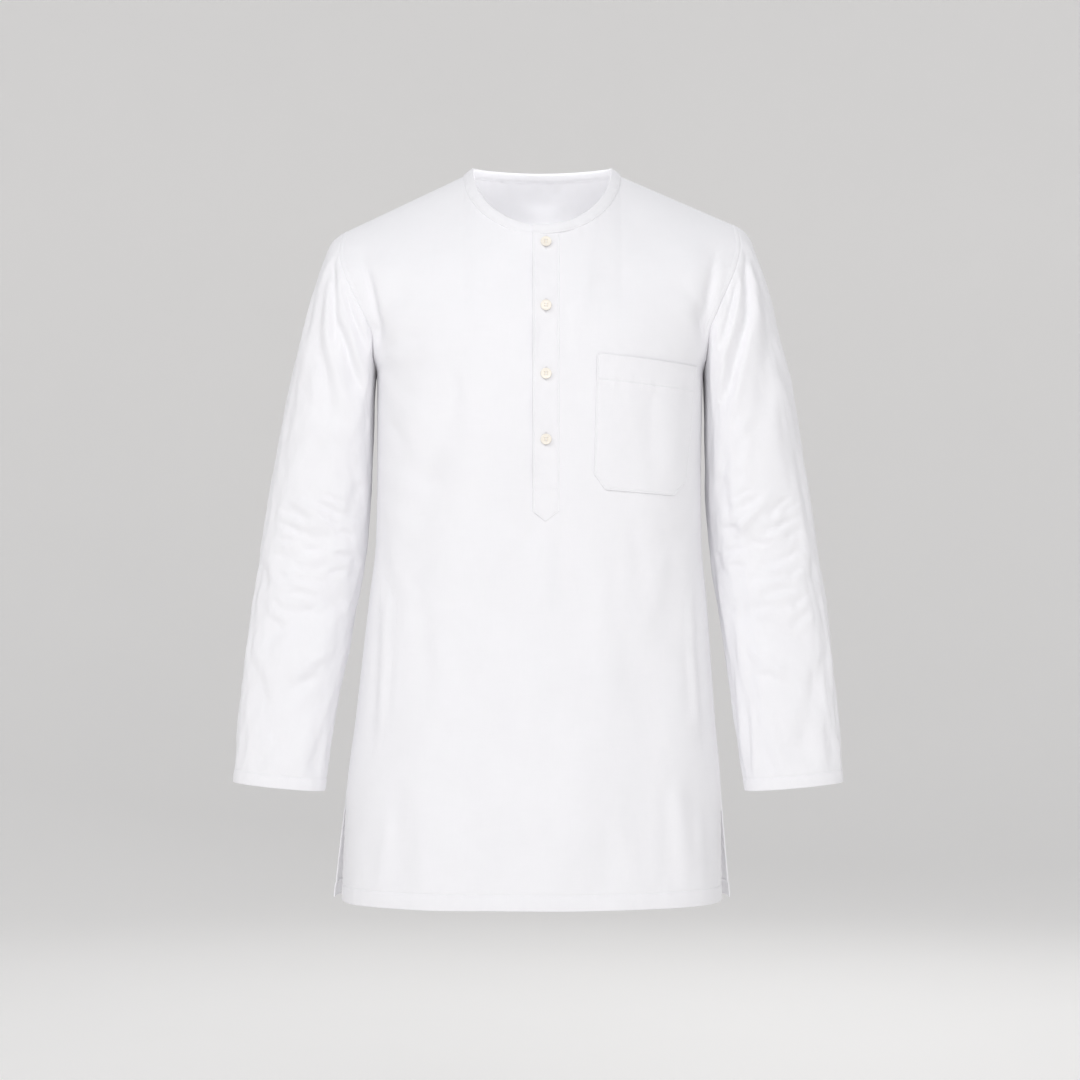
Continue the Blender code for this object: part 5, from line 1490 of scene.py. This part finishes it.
def pocket_stitches():
    """Rows of stitches on the pocket: down one side, round the cut corners and up the other, and the line
    under its hem."""
    points, normals, low_run, top_run, _, level, lower = pocket_shape()
    raised = points + normals * level[..., None]
    straight = lower[:, 0] <= 0.0
    corner = ~straight & (low_run[:, 20] > POCKET_STITCH)
    inside = slice(7, -7)
    lines = []
    for from_start in (True, False):
        runs = edge_runs(points, from_start=from_start, axis=1)
        lines.append((runs, POCKET_STITCH, 1, straight))
        lines.append((runs, POCKET_STITCH / POCKET_CORNER_SLANT, 1, corner))
    lines.append((low_run, POCKET_STITCH, 0, inside))
    lines.append((top_run, POCKET_HEM, 0, inside))
    return [stitch_row(line_at(raised, normals, *line)) for line in lines]


def make_pocket(material):
    """Chest pocket: a patch with a deep hem at its open mouth."""
    points, normals, _, _, free_run, level, _ = pocket_shape()
    return sheet_piece("pocket_cloth", points, normals, level, POCKET_CLOTH, free_run, material)


def make_side_pocket(name, hand, material):
    """Side pocket bag: a layer behind the front, from the side seam to its line of stitches."""
    bag_z = column(BAG_ROWS, BAG_COLUMNS, "z")
    line = column(BAG_ROWS, BAG_COLUMNS, "right_x" if hand < 0 else "left_x")
    z = np.linspace(bag_z[-1], bag_z[0], BAG_GRID[0])[:, None]
    stitched = smooth(z, bag_z[::-1], line[::-1])
    seam = hand * body_size("centre", z) + body_size("front_half_width", z) * BAG_SEAM_SHARE
    share = np.linspace(0.0, 1.0, BAG_GRID[1])[None, :]
    out = stitched + (seam - stitched) * np.sin(0.5 * np.pi * share)
    points, normals = laid_points(hand * out, z + 0.0 * out)
    free_run = np.minimum(edge_runs(points, axis=1), edge_runs(points, axis=0))
    free_run = np.minimum(free_run, edge_runs(points, from_start=False, axis=0))
    level = INSIDE_LEVEL + 0.0 * free_run
    return sheet_piece(name, points, normals, level, BAG_CLOTH, free_run, material)


def side_pocket_stitches(hand):
    """Rows of stitches that show on the front: the bag's curved outline, and the line beside the opening
    with its short turn to the seam at both ends."""
    rows = []
    word = "right_x" if hand < 0 else "left_x"
    for table, names in ((BAG_ROWS, BAG_COLUMNS), (OPENING_ROWS, OPENING_COLUMNS)):
        line_z = column(table, names, "z")
        line_x = column(table, names, word)
        z = np.linspace(line_z[0], line_z[-1], LINE_STEPS)
        x = hand * smooth(z, line_z[::-1], line_x[::-1])
        points, normals = laid_points(x[:, None] + LINE_STRIP, z[:, None] + 0.0 * LINE_STRIP)
        rows.append(stitch_row((points.mean(axis=1), unit(normals.mean(axis=1)))))
    return rows


def panel_stitches(side):
    """Rows of stitches on the front or back: bottom hem, slit hems, armholes and, on the back, the sewn
    down shoulder and side seams."""
    outer, _, normals, _ = panel_wall(side)
    across, _, _, low_rows = panel_shape(side)
    up_run = edge_runs(outer, axis=0)
    z = outer[:, 0, 2]
    hem = cloth_size("bottom_hem")
    inside = side_runs(outer)[4] > HEM_END_CLEAR
    in_slit = (z < SLIT_TOP_Z + SLIT_STITCH_PAST) & (up_run[:, len(across) // 2] > hem)
    in_armhole = np.arange(len(z)) > low_rows + 1
    in_armhole[-3:] = False
    in_side_seam = (z > SLIT_TOP_Z + SEAM_END_CLEAR) & (z < ARMPIT_Z - SEAM_END_CLEAR)
    lines = [(up_run, hem - HEM_STITCH, 0, inside)]
    for from_start in (True, False):
        runs = edge_runs(outer, from_start=from_start, axis=1)
        lines.append((runs, cloth_size("slit_hem") - HEM_STITCH, 1, in_slit))
        lines.append((runs, ARMHOLE_STITCH, 1, in_armhole))
        if side > 0:
            lines.append((runs, SEAM_STITCH, 1, in_side_seam))
    if side > 0:
        top_run = edge_runs(outer, from_start=False, axis=0)
        for hand in (-1, 1):
            out = hand * across
            on_shoulder = (out > float(neck_share()) + NECK_END_CLEAR) & (out < BESIDE_ARMHOLE)
            lines.append((top_run, SEAM_STITCH, 0, on_shoulder))
    return [stitch_row(line_at(outer, normals, *line)) for line in lines]


def sleeve_stitches(hand):
    """Row of stitches round a cuff's hem."""
    outer, _, normals, _ = sleeve_wall(hand)
    runs = edge_runs(outer, from_start=False, axis=0)
    line, line_normals = line_at(outer, normals, runs, cloth_size("cuff_hem") - HEM_STITCH, 0)
    closed = np.concatenate([line, line[:1]]), np.concatenate([line_normals, line_normals[:1]])
    return [stitch_row(closed)]


def make_panel(name, side, material):
    """Front or back: one panel of cloth. The front is slashed from the neck under the placket."""
    outer, inner, _, uv = panel_wall(side)
    cells = np.ones((outer.shape[0] - 1, outer.shape[1] - 1), dtype=bool)
    if side < 0:
        across = panel_columns(side)
        slash = int(np.argmin(np.abs(across - slash_places()[0])))
        cells[outer[:-1, slash, 2] > SLASH_END_Z, slash] = False
    return cloth_piece(name, outer, inner, uv, material, cells=cells)


def make_sleeve(name, hand, material):
    """Sleeve: one long tube of cloth set into the armhole and hemmed at the cuff."""
    outer, inner, _, uv = sleeve_wall(hand)
    return cloth_piece(name, outer, inner, uv, material, wraps=True)


def button_frame(z):
    """Seat of a button on the placket: its middle, outward normal, level and upright directions."""
    x = BUTTON_X + BUTTON_PATCH * np.array([[-1.0, 1.0], [-1.0, 1.0]])
    patch = body_points(-1, x, z + BUTTON_PATCH * np.array([[1.0, 1.0], [-1.0, -1.0]]))
    level = unit(patch[0, 1] - patch[0, 0])
    normal = unit(np.cross(level, patch[0, 0] - patch[1, 0]))
    return patch.mean(axis=(0, 1)) + normal * BUTTON_SEAT, normal, level, np.cross(normal, level)


def make_button(name, z, material):
    """Button: a turned disc on a grid of turns and profile steps. Its dish has four holes, each a pit
    whose depth grows over a narrow rim from the distance to its centre."""
    seat, normal, level, upright = button_frame(z)
    scale = bpy.context.scene.tunic_buttons.diameter / 2.0 / BUTTON_PROFILE[2][0]
    runs = np.linspace(0.0, 1.0, len(BUTTON_PROFILE))
    steps = np.linspace(0.0, 1.0, BUTTON_STEPS)
    radii, rises = (column(BUTTON_PROFILE, BUTTON_COLUMNS, name) for name in BUTTON_COLUMNS)
    dish = steps[::-1][1:-1]
    radius = np.concatenate([smooth(steps, runs, radii), radii[-1] * dish])[:, None] * scale
    rise = np.concatenate([smooth(steps, runs, rises), rises[-1] - BUTTON_DISH * (1.0 - dish**2)])[:, None]
    angles = (2.0 * np.pi * np.arange(BUTTON_TURNS) / BUTTON_TURNS)[None, :]
    a = radius * np.cos(angles)
    b = radius * np.sin(angles)
    depth = np.zeros_like(a)
    for turn in np.pi * (0.25 + 0.5 * np.arange(4)):
        away = np.hypot(a - HOLE_REACH * np.cos(turn), b - HOLE_REACH * np.sin(turn))
        depth = np.maximum(depth, HOLE_DEPTH * ease((HOLE_RADIUS - away) / HOLE_RIM))
    in_dish = (np.arange(len(radius)) >= BUTTON_STEPS - 4)[:, None]
    rise = rise - depth * in_dish
    points = seat + a[..., None] * level + b[..., None] * upright + rise[..., None] * normal
    rows, turns = points.shape[:2]
    quads = grid_quads(rows, turns, wraps=True)
    vertices = np.concatenate([points.reshape(-1, 3), [seat + normal * rise[-1, 0]]])
    last = (rows - 1) * turns + np.arange(turns)
    fan = np.stack([last, np.roll(last, -1), np.full(turns, len(vertices) - 1)], -1)
    base = np.arange(turns)[::-1][None, :]
    return mesh_piece(name, vertices, [quads.reshape(-1, 4), fan, base], material, sharp=50.0)


def button_threads():
    """Thread that holds the buttons: two level bars across the holes of each, and a wound shank behind."""
    rows = []
    reach = HOLE_REACH * np.sqrt(0.5)
    turns = 2.0 * np.pi * np.arange(SHANK_TURNS) / SHANK_TURNS
    for z in BUTTON_Z:
        seat, normal, level, upright = button_frame(z)
        for hand in (-1.0, 1.0):
            for shift in BUTTON_THREAD_SHIFTS:
                out = BUTTON_PROFILE[-1][1] - BUTTON_THREAD_BOW * abs(shift)
                middle = seat + upright * (hand * reach + shift) + normal * out
                rows.append((middle[None], (level * (reach - BUTTON_THREAD_END))[None], normal[None]))
        spoke = np.cos(turns)[:, None] * level + np.sin(turns)[:, None] * upright
        middle = seat - normal * SHANK_DEPTH + spoke * SHANK_RADIUS
        rows.append((middle, np.tile(normal * SHANK_HALF, (SHANK_TURNS, 1)), spoke))
    return rows


class Wire:
    """A shader socket that can stand in a sum: each operator adds the Math node that works it out."""

    def __init__(self, finish, socket):
        self.finish = finish
        self.socket = socket

    def math(self, operation, *values):
        node = self.finish.node("ShaderNodeMath", {"operation": operation}, dict(enumerate(values)))
        return Wire(self.finish, node.outputs[0])

    def __add__(self, other):
        return self.math("ADD", self, other)

    def __sub__(self, other):
        return self.math("SUBTRACT", self, other)

    def __mul__(self, other):
        return self.math("MULTIPLY", self, other)

    def __truediv__(self, other):
        return self.math("DIVIDE", self, other)

    def __rsub__(self, other):
        return self.math("SUBTRACT", other, self)

    def __rtruediv__(self, other):
        return self.math("DIVIDE", other, self)

    __radd__ = __add__
    __rmul__ = __mul__

    def wave(self, length):
        """A sine of this value that comes round once in each length."""
        turned = self * (2.0 * np.pi / length)
        return turned.math("SINE", turned)


class Finish:
    """A node material for one finish, with one method that adds any node and joins its sockets."""

    def __init__(self, name):
        self.material = bpy.data.materials.new(name)
        self.material.use_nodes = True
        self.tree = self.material.node_tree
        self.surface = self.tree.nodes["Principled BSDF"]

    def node(self, kind, settings, sockets):
        node = self.tree.nodes.new(kind)
        for name, value in settings.items():
            setattr(node, name, value)
        for name, value in sockets.items():
            self.join(node.inputs[name], value)
        return node

    def join(self, socket, value):
        if isinstance(value, Wire):
            self.tree.links.new(value.socket, socket)
        else:
            socket.default_value = value

    def look(self, name, value):
        """Join a value to one of the surface shader's own sockets, or set it there."""
        self.join(self.surface.inputs[name], value)

    def wire(self, kind, settings, sockets, output=0):
        return Wire(self, self.node(kind, settings, sockets).outputs[output])

    def noise(self, vector, scale, detail=2.0, roughness=0.5):
        sockets = {"Vector": vector, "Scale": scale, "Detail": detail, "Roughness": roughness}
        return self.wire("ShaderNodeTexNoise", {"noise_dimensions": "3D"}, sockets, "Fac")

    def stretched(self, vector, along, across):
        return self.wire(
            "ShaderNodeVectorMath", {"operation": "MULTIPLY"}, {0: vector, 1: (along, across, 1.0)}, "Vector"
        )

    def mix(self, share, first, second):
        sockets = {"Factor": share, 6: first, 7: second}
        return self.wire("ShaderNodeMix", {"data_type": "RGBA"}, sockets, 2)

    def range(self, value, low, high, to_low, to_high):
        sockets = {"Value": value, "From Min": low, "From Max": high, "To Min": to_low, "To Max": to_high}
        return self.wire("ShaderNodeMapRange", {}, sockets, "Result")

    def bump(self, height, strength, distance):
        sockets = {"Height": height, "Strength": strength, "Distance": distance}
        return self.wire("ShaderNodeBump", {}, sockets, "Normal")


def tone(colour, share):
    """A colour made lighter or darker, as four numbers."""
    return tuple(min(1.0, c * share) for c in colour[:3]) + (1.0,)


@functools.lru_cache(maxsize=None)
def cotton_finish():
    """White plain-woven cotton: crossing threads and slubs on the cloth's own UV in metres, a little
    uneven in colour, matt with a faint sheen."""
    finish = Finish("white_cotton")
    colour = tuple(bpy.context.scene.tunic_cloth.colour)
    uv = finish.wire("ShaderNodeUVMap", {"uv_map": "cloth"}, {}, "UV")
    apart = finish.node("ShaderNodeSeparateXYZ", {}, {"Vector": uv})
    u = Wire(finish, apart.outputs["X"])
    v = Wire(finish, apart.outputs["Y"])
    weave = u.wave(WEAVE_PITCH) * v.wave(WEAVE_PITCH)
    upright_slubs = finish.noise(finish.stretched(uv, 900.0, 36.0), 1.0, 3.0, 0.6)
    level_slubs = finish.noise(finish.stretched(uv, 36.0, 900.0), 1.0, 3.0, 0.6)
    slubs = upright_slubs + level_slubs
    height = 0.30 * weave + 1.2 * slubs
    place = finish.wire("ShaderNodeTexCoord", {}, {}, "Object")
    cloudy = finish.noise(place, 16.0, 5.0, 0.65)
    share = finish.range(0.5 * cloudy + 0.25 * slubs, 0.35, 0.65, 0.0, 1.0)
    finish.look("Base Color", finish.mix(share, tone(colour, 0.982), tone(colour, 1.012)))
    finish.look("Roughness", finish.range(slubs, 0.6, 1.4, 0.80, 0.92))
    finish.look("Normal", finish.bump(height, 0.40, 0.00010))
    finish.look("Specular IOR Level", 0.25)
    finish.look("Sheen Weight", 0.12)
    finish.look("Sheen Roughness", 0.5)
    return finish.material


@functools.lru_cache(maxsize=None)
def thread_finish():
    """White sewing thread: fine twist and a little unevenness, with a faint gloss."""
    finish = Finish("white_thread")
    colour = tuple(bpy.context.scene.tunic_cloth.colour)
    place = finish.wire("ShaderNodeTexCoord", {}, {}, "Object")
    twist = finish.noise(place, 2600.0, 1.0)
    share = finish.range(finish.noise(place, 300.0), 0.3, 0.7, 0.0, 1.0)
    finish.look("Base Color", finish.mix(share, tone(colour, 0.93), tone(colour, 1.0)))
    finish.look("Normal", finish.bump(twist, 0.3, 0.0001))
    finish.look("Roughness", finish.range(twist, 0.3, 0.7, 0.55, 0.70))
    return finish.material


@functools.lru_cache(maxsize=None)
def button_finish():
    """Cream button: a faint cloudy grain under a soft polish, a little duller in fine scratches."""
    finish = Finish("cream_button")
    colour = tuple(bpy.context.scene.tunic_buttons.colour)
    place = finish.wire("ShaderNodeTexCoord", {}, {}, "Object")
    cloudy = finish.noise(finish.stretched(place, 160.0, 420.0), 1.0, 3.0, 0.6)
    share = finish.range(cloudy, 0.35, 0.65, 0.0, 1.0)
    finish.look("Base Color", finish.mix(share, tone(colour, 1.01), tone(colour, 1.09)))
    worn = finish.noise(place, 1800.0, 2.0)
    finish.look("Roughness", finish.range(worn, 0.3, 0.7, 0.28, 0.42))
    finish.look("Normal", finish.bump(worn, 0.12, 0.00005))
    finish.look("Coat Weight", 0.25)
    finish.look("Coat Roughness", 0.2)
    return finish.material


@functools.lru_cache(maxsize=None)
def floor_finish():
    """Plain pale studio floor: matt paper with the faintest grain."""
    finish = Finish("pale_floor")
    colour = tuple(bpy.context.scene.tunic_stage.floor_colour)
    place = finish.wire("ShaderNodeTexCoord", {}, {}, "Object")
    share = finish.noise(place, 3.0)
    finish.look("Base Color", finish.mix(share, tone(colour, 0.99), tone(colour, 1.01)))
    finish.look("Roughness", 0.9)
    finish.look("Emission Color", tone(colour, 1.0))
    finish.look("Emission Strength", bpy.context.scene.tunic_stage.floor_glow)
    return finish.material


def make_floor():
    """Floor: a wide round sheet whose edge sweeps up into a wall, a profile carried round a full turn."""
    ring = np.linspace(0.0, 1.0, 40)
    bend = 0.5 * np.pi * np.linspace(0.0, 1.0, 24)[1:]
    swept = FLOOR_RADIUS + FLOOR_BEND * np.sin(bend)
    radius = np.concatenate([FLOOR_RADIUS * ring[1:], swept, [FLOOR_RADIUS + FLOOR_BEND]])[:, None]
    height = np.concatenate([0.0 * ring[1:], FLOOR_BEND * (1.0 - np.cos(bend)), [WALL_HEIGHT]]) + FLOOR_Z
    turns = 2.0 * np.pi * np.arange(FLOOR_TURNS) / FLOOR_TURNS
    places = np.broadcast_arrays(radius * np.cos(turns), radius * np.sin(turns), height[:, None])
    points = np.stack(places, axis=-1)
    rows, sides = points.shape[:2]
    quads = grid_quads(rows, sides, wraps=True)[..., [0, 3, 2, 1]]
    vertices = np.concatenate([points.reshape(-1, 3), [(0.0, 0.0, FLOOR_Z)]])
    fan = np.stack([np.full(sides, len(vertices) - 1), np.arange(sides), np.roll(np.arange(sides), -1)], -1)
    return mesh_piece("studio_floor", vertices, [quads.reshape(-1, 4), fan], floor_finish(), sharp=180.0)


def add_light(name, place, aim, width, height, power):
    """A soft flat light that faces a point."""
    data = bpy.data.lights.new(name, "AREA")
    data.shape = "RECTANGLE"
    data.size = width
    data.size_y = height
    data.energy = power
    light = bpy.data.objects.new(name, data)
    light.location = place
    direction = Vector(aim) - Vector(place)
    light.rotation_euler = direction.to_track_quat("-Z", "Y").to_euler()
    bpy.context.scene.collection.objects.link(light)
    return light


class TunicClothSettings(bpy.types.PropertyGroup):
    thickness: bpy.props.FloatProperty(
        name="Cloth thickness", description="Thickness of one layer of the cotton", default=0.0008,
        min=0.0003, max=0.002, precision=4, unit="LENGTH",
    )
    bottom_hem: bpy.props.FloatProperty(
        name="Bottom hem", description="Depth of the hem at the bottom edge", default=0.0185, unit="LENGTH",
    )
    slit_hem: bpy.props.FloatProperty(
        name="Slit hem", description="Depth of the hems along the side slits", default=0.0080, unit="LENGTH",
    )
    cuff_hem: bpy.props.FloatProperty(
        name="Cuff hem", description="Depth of the hem at each cuff", default=0.0150, unit="LENGTH",
    )
    stitch_pitch: bpy.props.FloatProperty(
        name="Stitch pitch", description="Distance from one stitch to the next", default=0.0027, precision=4,
        unit="LENGTH",
    )
    thread_radius: bpy.props.FloatProperty(
        name="Thread radius", description="Radius of the sewing thread", default=0.00022, precision=5,
        unit="LENGTH",
    )
    colour: bpy.props.FloatVectorProperty(
        name="Cotton colour", description="Colour of the cloth and its thread", subtype="COLOR", size=3,
        min=0.0, max=1.0, default=tuple(SLOTS["cotton"]),
    )


class TunicButtonSettings(bpy.types.PropertyGroup):
    diameter: bpy.props.FloatProperty(
        name="Button diameter", description="Diameter of the placket's buttons", default=0.0124, precision=4,
        unit="LENGTH",
    )
    colour: bpy.props.FloatVectorProperty(
        name="Button colour", description="Colour of the buttons", subtype="COLOR", size=3, min=0.0, max=1.0,
        default=tuple(SLOTS["button"]),
    )


class TunicStageSettings(bpy.types.PropertyGroup):
    floor_colour: bpy.props.FloatVectorProperty(
        name="Floor colour", description="Colour of the plain floor", subtype="COLOR", size=3,
        min=0.0, max=1.0, default=(0.88, 0.87, 0.86),
    )
    floor_glow: bpy.props.FloatProperty(
        name="Floor glow", description="Light that the floor gives off, as a lit studio sweep does",
        default=0.08, min=0.0, subtype="FACTOR",
    )
    key_power: bpy.props.FloatProperty(
        name="Key light", description="Power of the soft main light", default=35.0, min=0.0, unit="POWER",
    )
    fill_power: bpy.props.FloatProperty(
        name="Fill light", description="Power of the soft lights from near the camera and behind",
        default=44.0, min=0.0, unit="POWER",
    )
    neck_power: bpy.props.FloatProperty(
        name="Neck light", description="Power of the small light in the neck opening", default=0.105, min=0.0,
        max=10.0, precision=3, unit="POWER",
    )
    sky: bpy.props.FloatProperty(
        name="Room light", description="Strength of the even light from all round", default=0.49, min=0.0,
        subtype="FACTOR",
    )


class TUNIC_OT_panels(bpy.types.Operator):
    """Makes the cloth of the back and the front with their hems, seams and rows of stitches"""

    bl_idname = "tunic.make_panels"
    bl_label = "Make Front and Back"

    def execute(self, context):
        for name, side in (("back", 1), ("front", -1)):
            threads = dress(thread_piece(f"{name}_stitches", panel_stitches(side), thread_finish()), "cotton")
            cloth = dress(make_panel(f"{name}_cloth", side, cotton_finish()), "cotton", name)
        return {"FINISHED"}


class TUNIC_OT_sleeves(bpy.types.Operator):
    """Makes both sleeves with their cuff hems"""

    bl_idname = "tunic.make_sleeves"
    bl_label = "Make Sleeves"

    def execute(self, context):
        for word, hand in HANDS:
            threads = thread_piece(f"sleeve_{word}_stitches", sleeve_stitches(hand), thread_finish())
            dress(threads, "cotton")
            cloth = make_sleeve(f"sleeve_{word}_cloth", hand, cotton_finish())
            dress(cloth, "cotton", f"sleeve_{word}")
        return {"FINISHED"}


class TUNIC_OT_neckband(bpy.types.Operator):
    """Makes the folded neckband and its stitches"""

    bl_idname = "tunic.make_neckband"
    bl_label = "Make Neckband"

    def execute(self, context):
        _, _, lines = neckband_shape()
        threads = thread_piece("neckband_stitches", [stitch_row(line) for line in lines], thread_finish())
        dress(threads, "cotton")
        cloth = dress(make_neckband(cotton_finish()), "cotton", "neckband")
        return {"FINISHED"}


class TUNIC_OT_placket(bpy.types.Operator):
    """Makes the over and under strips of the placket with buttonholes and stitches"""

    bl_idname = "tunic.make_placket"
    bl_label = "Make Placket"

    def execute(self, context):
        under = dress(make_placket_under(cotton_finish()), "cotton", "placket_under")
        threads = dress(thread_piece("placket_stitches", placket_stitches(), thread_finish()), "cotton")
        bars = buttonhole_stitches()
        holes = thread_piece("buttonhole_stitches", bars, thread_finish(), radius=BUTTONHOLE_THREAD)
        dress(holes, "cotton")
        cloth = dress(make_placket(cotton_finish()), "cotton", "placket")
        return {"FINISHED"}


class TUNIC_OT_pocket(bpy.types.Operator):
    """Makes the chest pocket and its stitches"""

    bl_idname = "tunic.make_pocket"
    bl_label = "Make Chest Pocket"

    def execute(self, context):
        threads = dress(thread_piece("pocket_stitches", pocket_stitches(), thread_finish()), "cotton")
        cloth = dress(make_pocket(cotton_finish()), "cotton", "pocket")
        return {"FINISHED"}


class TUNIC_OT_side_pockets(bpy.types.Operator):
    """Makes the bags of the side pockets and the stitches that show on the front"""

    bl_idname = "tunic.make_side_pockets"
    bl_label = "Make Side Pockets"

    def execute(self, context):
        for word, hand in HANDS:
            rows = side_pocket_stitches(hand)
            threads = dress(thread_piece(f"side_pocket_{word}_stitches", rows, thread_finish()), "cotton")
            cloth = make_side_pocket(f"side_pocket_{word}_cloth", hand, cotton_finish())
            dress(cloth, "cotton", f"side_pocket_{word}")
        return {"FINISHED"}


class TUNIC_OT_buttons(bpy.types.Operator):
    """Makes the four buttons and the thread that holds them"""

    bl_idname = "tunic.make_buttons"
    bl_label = "Make Buttons"

    def execute(self, context):
        for number, z in enumerate(BUTTON_Z, start=1):
            dress(make_button(f"button_{number}_turned", z, button_finish()), "button", f"button_{number}")
        threads = thread_piece("button_threads", button_threads(), thread_finish(), radius=BUTTON_THREAD)
        dress(threads, "cotton")
        return {"FINISHED"}


class TUNIC_OT_stage(bpy.types.Operator):
    """Sets the plain floor, the soft studio light and the camera"""

    bl_idname = "tunic.make_stage"
    bl_label = "Make Stage"

    def execute(self, context):
        scene = context.scene
        stage = scene.tunic_stage
        make_floor()
        add_light("key_light", KEY_LIGHT, AIM, KEY_SIZE, KEY_SIZE, stage.key_power)
        add_light("fill_light", FILL_LIGHT, AIM, FILL_SIZE, FILL_SIZE, stage.fill_power)
        add_light("back_light", BACK_LIGHT, AIM, BACK_SIZE, BACK_SIZE, stage.fill_power)
        neck_light = add_light("neck_light", NECK_LIGHT, NECK_LIGHT_AIM, *NECK_LIGHT_SIZE, stage.neck_power)
        neck_light.visible_camera = False
        world = bpy.data.worlds.new("studio_room")
        world.use_nodes = True
        background = world.node_tree.nodes["Background"]
        background.inputs["Color"].default_value = ROOM_COLOUR
        background.inputs["Strength"].default_value = stage.sky
        scene.world = world
        scene.view_settings.view_transform = "Standard"
        data = bpy.data.cameras.new("front_camera")
        data.sensor_width = SENSOR
        data.lens = SENSOR * CAMERA_DISTANCE / VIEW_WIDTH
        camera = bpy.data.objects.new("front_camera", data)
        camera.location = (0.0, -CAMERA_DISTANCE, AIM[2])
        camera.rotation_euler = (np.pi / 2.0, 0.0, 0.0)
        scene.collection.objects.link(camera)
        scene.camera = camera
        return {"FINISHED"}


OPERATORS = (
    TUNIC_OT_panels, TUNIC_OT_sleeves, TUNIC_OT_neckband, TUNIC_OT_placket, TUNIC_OT_pocket,
    TUNIC_OT_side_pockets, TUNIC_OT_buttons, TUNIC_OT_stage,
)
SETTINGS = (
    ("tunic_cloth", TunicClothSettings), ("tunic_buttons", TunicButtonSettings),
    ("tunic_stage", TunicStageSettings),
)


class TUNIC_PT_sidebar(bpy.types.Panel):
    """Lists the tunic's settings and the steps that make it"""

    bl_idname = "TUNIC_PT_sidebar"
    bl_label = "Kurta Tunic"
    bl_space_type = "VIEW_3D"
    bl_region_type = "UI"
    bl_category = "Tunic"

    def draw(self, context):
        for group, kind in SETTINGS:
            box = self.layout.box()
            for name in kind.__annotations__:
                box.prop(getattr(context.scene, group), name)
        for operator in OPERATORS:
            self.layout.operator(operator.bl_idname)


def register():
    for kind in [kind for _, kind in SETTINGS] + list(OPERATORS) + [TUNIC_PT_sidebar]:
        bpy.utils.register_class(kind)
    for name, kind in SETTINGS:
        setattr(bpy.types.Scene, name, bpy.props.PointerProperty(type=kind))


def unregister():
    for name, _ in SETTINGS:
        delattr(bpy.types.Scene, name)
    for kind in [TUNIC_PT_sidebar] + list(OPERATORS) + [kind for _, kind in SETTINGS]:
        bpy.utils.unregister_class(kind)


def main():
    register()
    bpy.ops.tunic.make_panels()
    bpy.ops.tunic.make_sleeves()
    bpy.ops.tunic.make_neckband()
    bpy.ops.tunic.make_placket()
    bpy.ops.tunic.make_pocket()
    bpy.ops.tunic.make_side_pockets()
    bpy.ops.tunic.make_buttons()
    bpy.ops.tunic.make_stage()


if __name__ == "__main__":
    main()
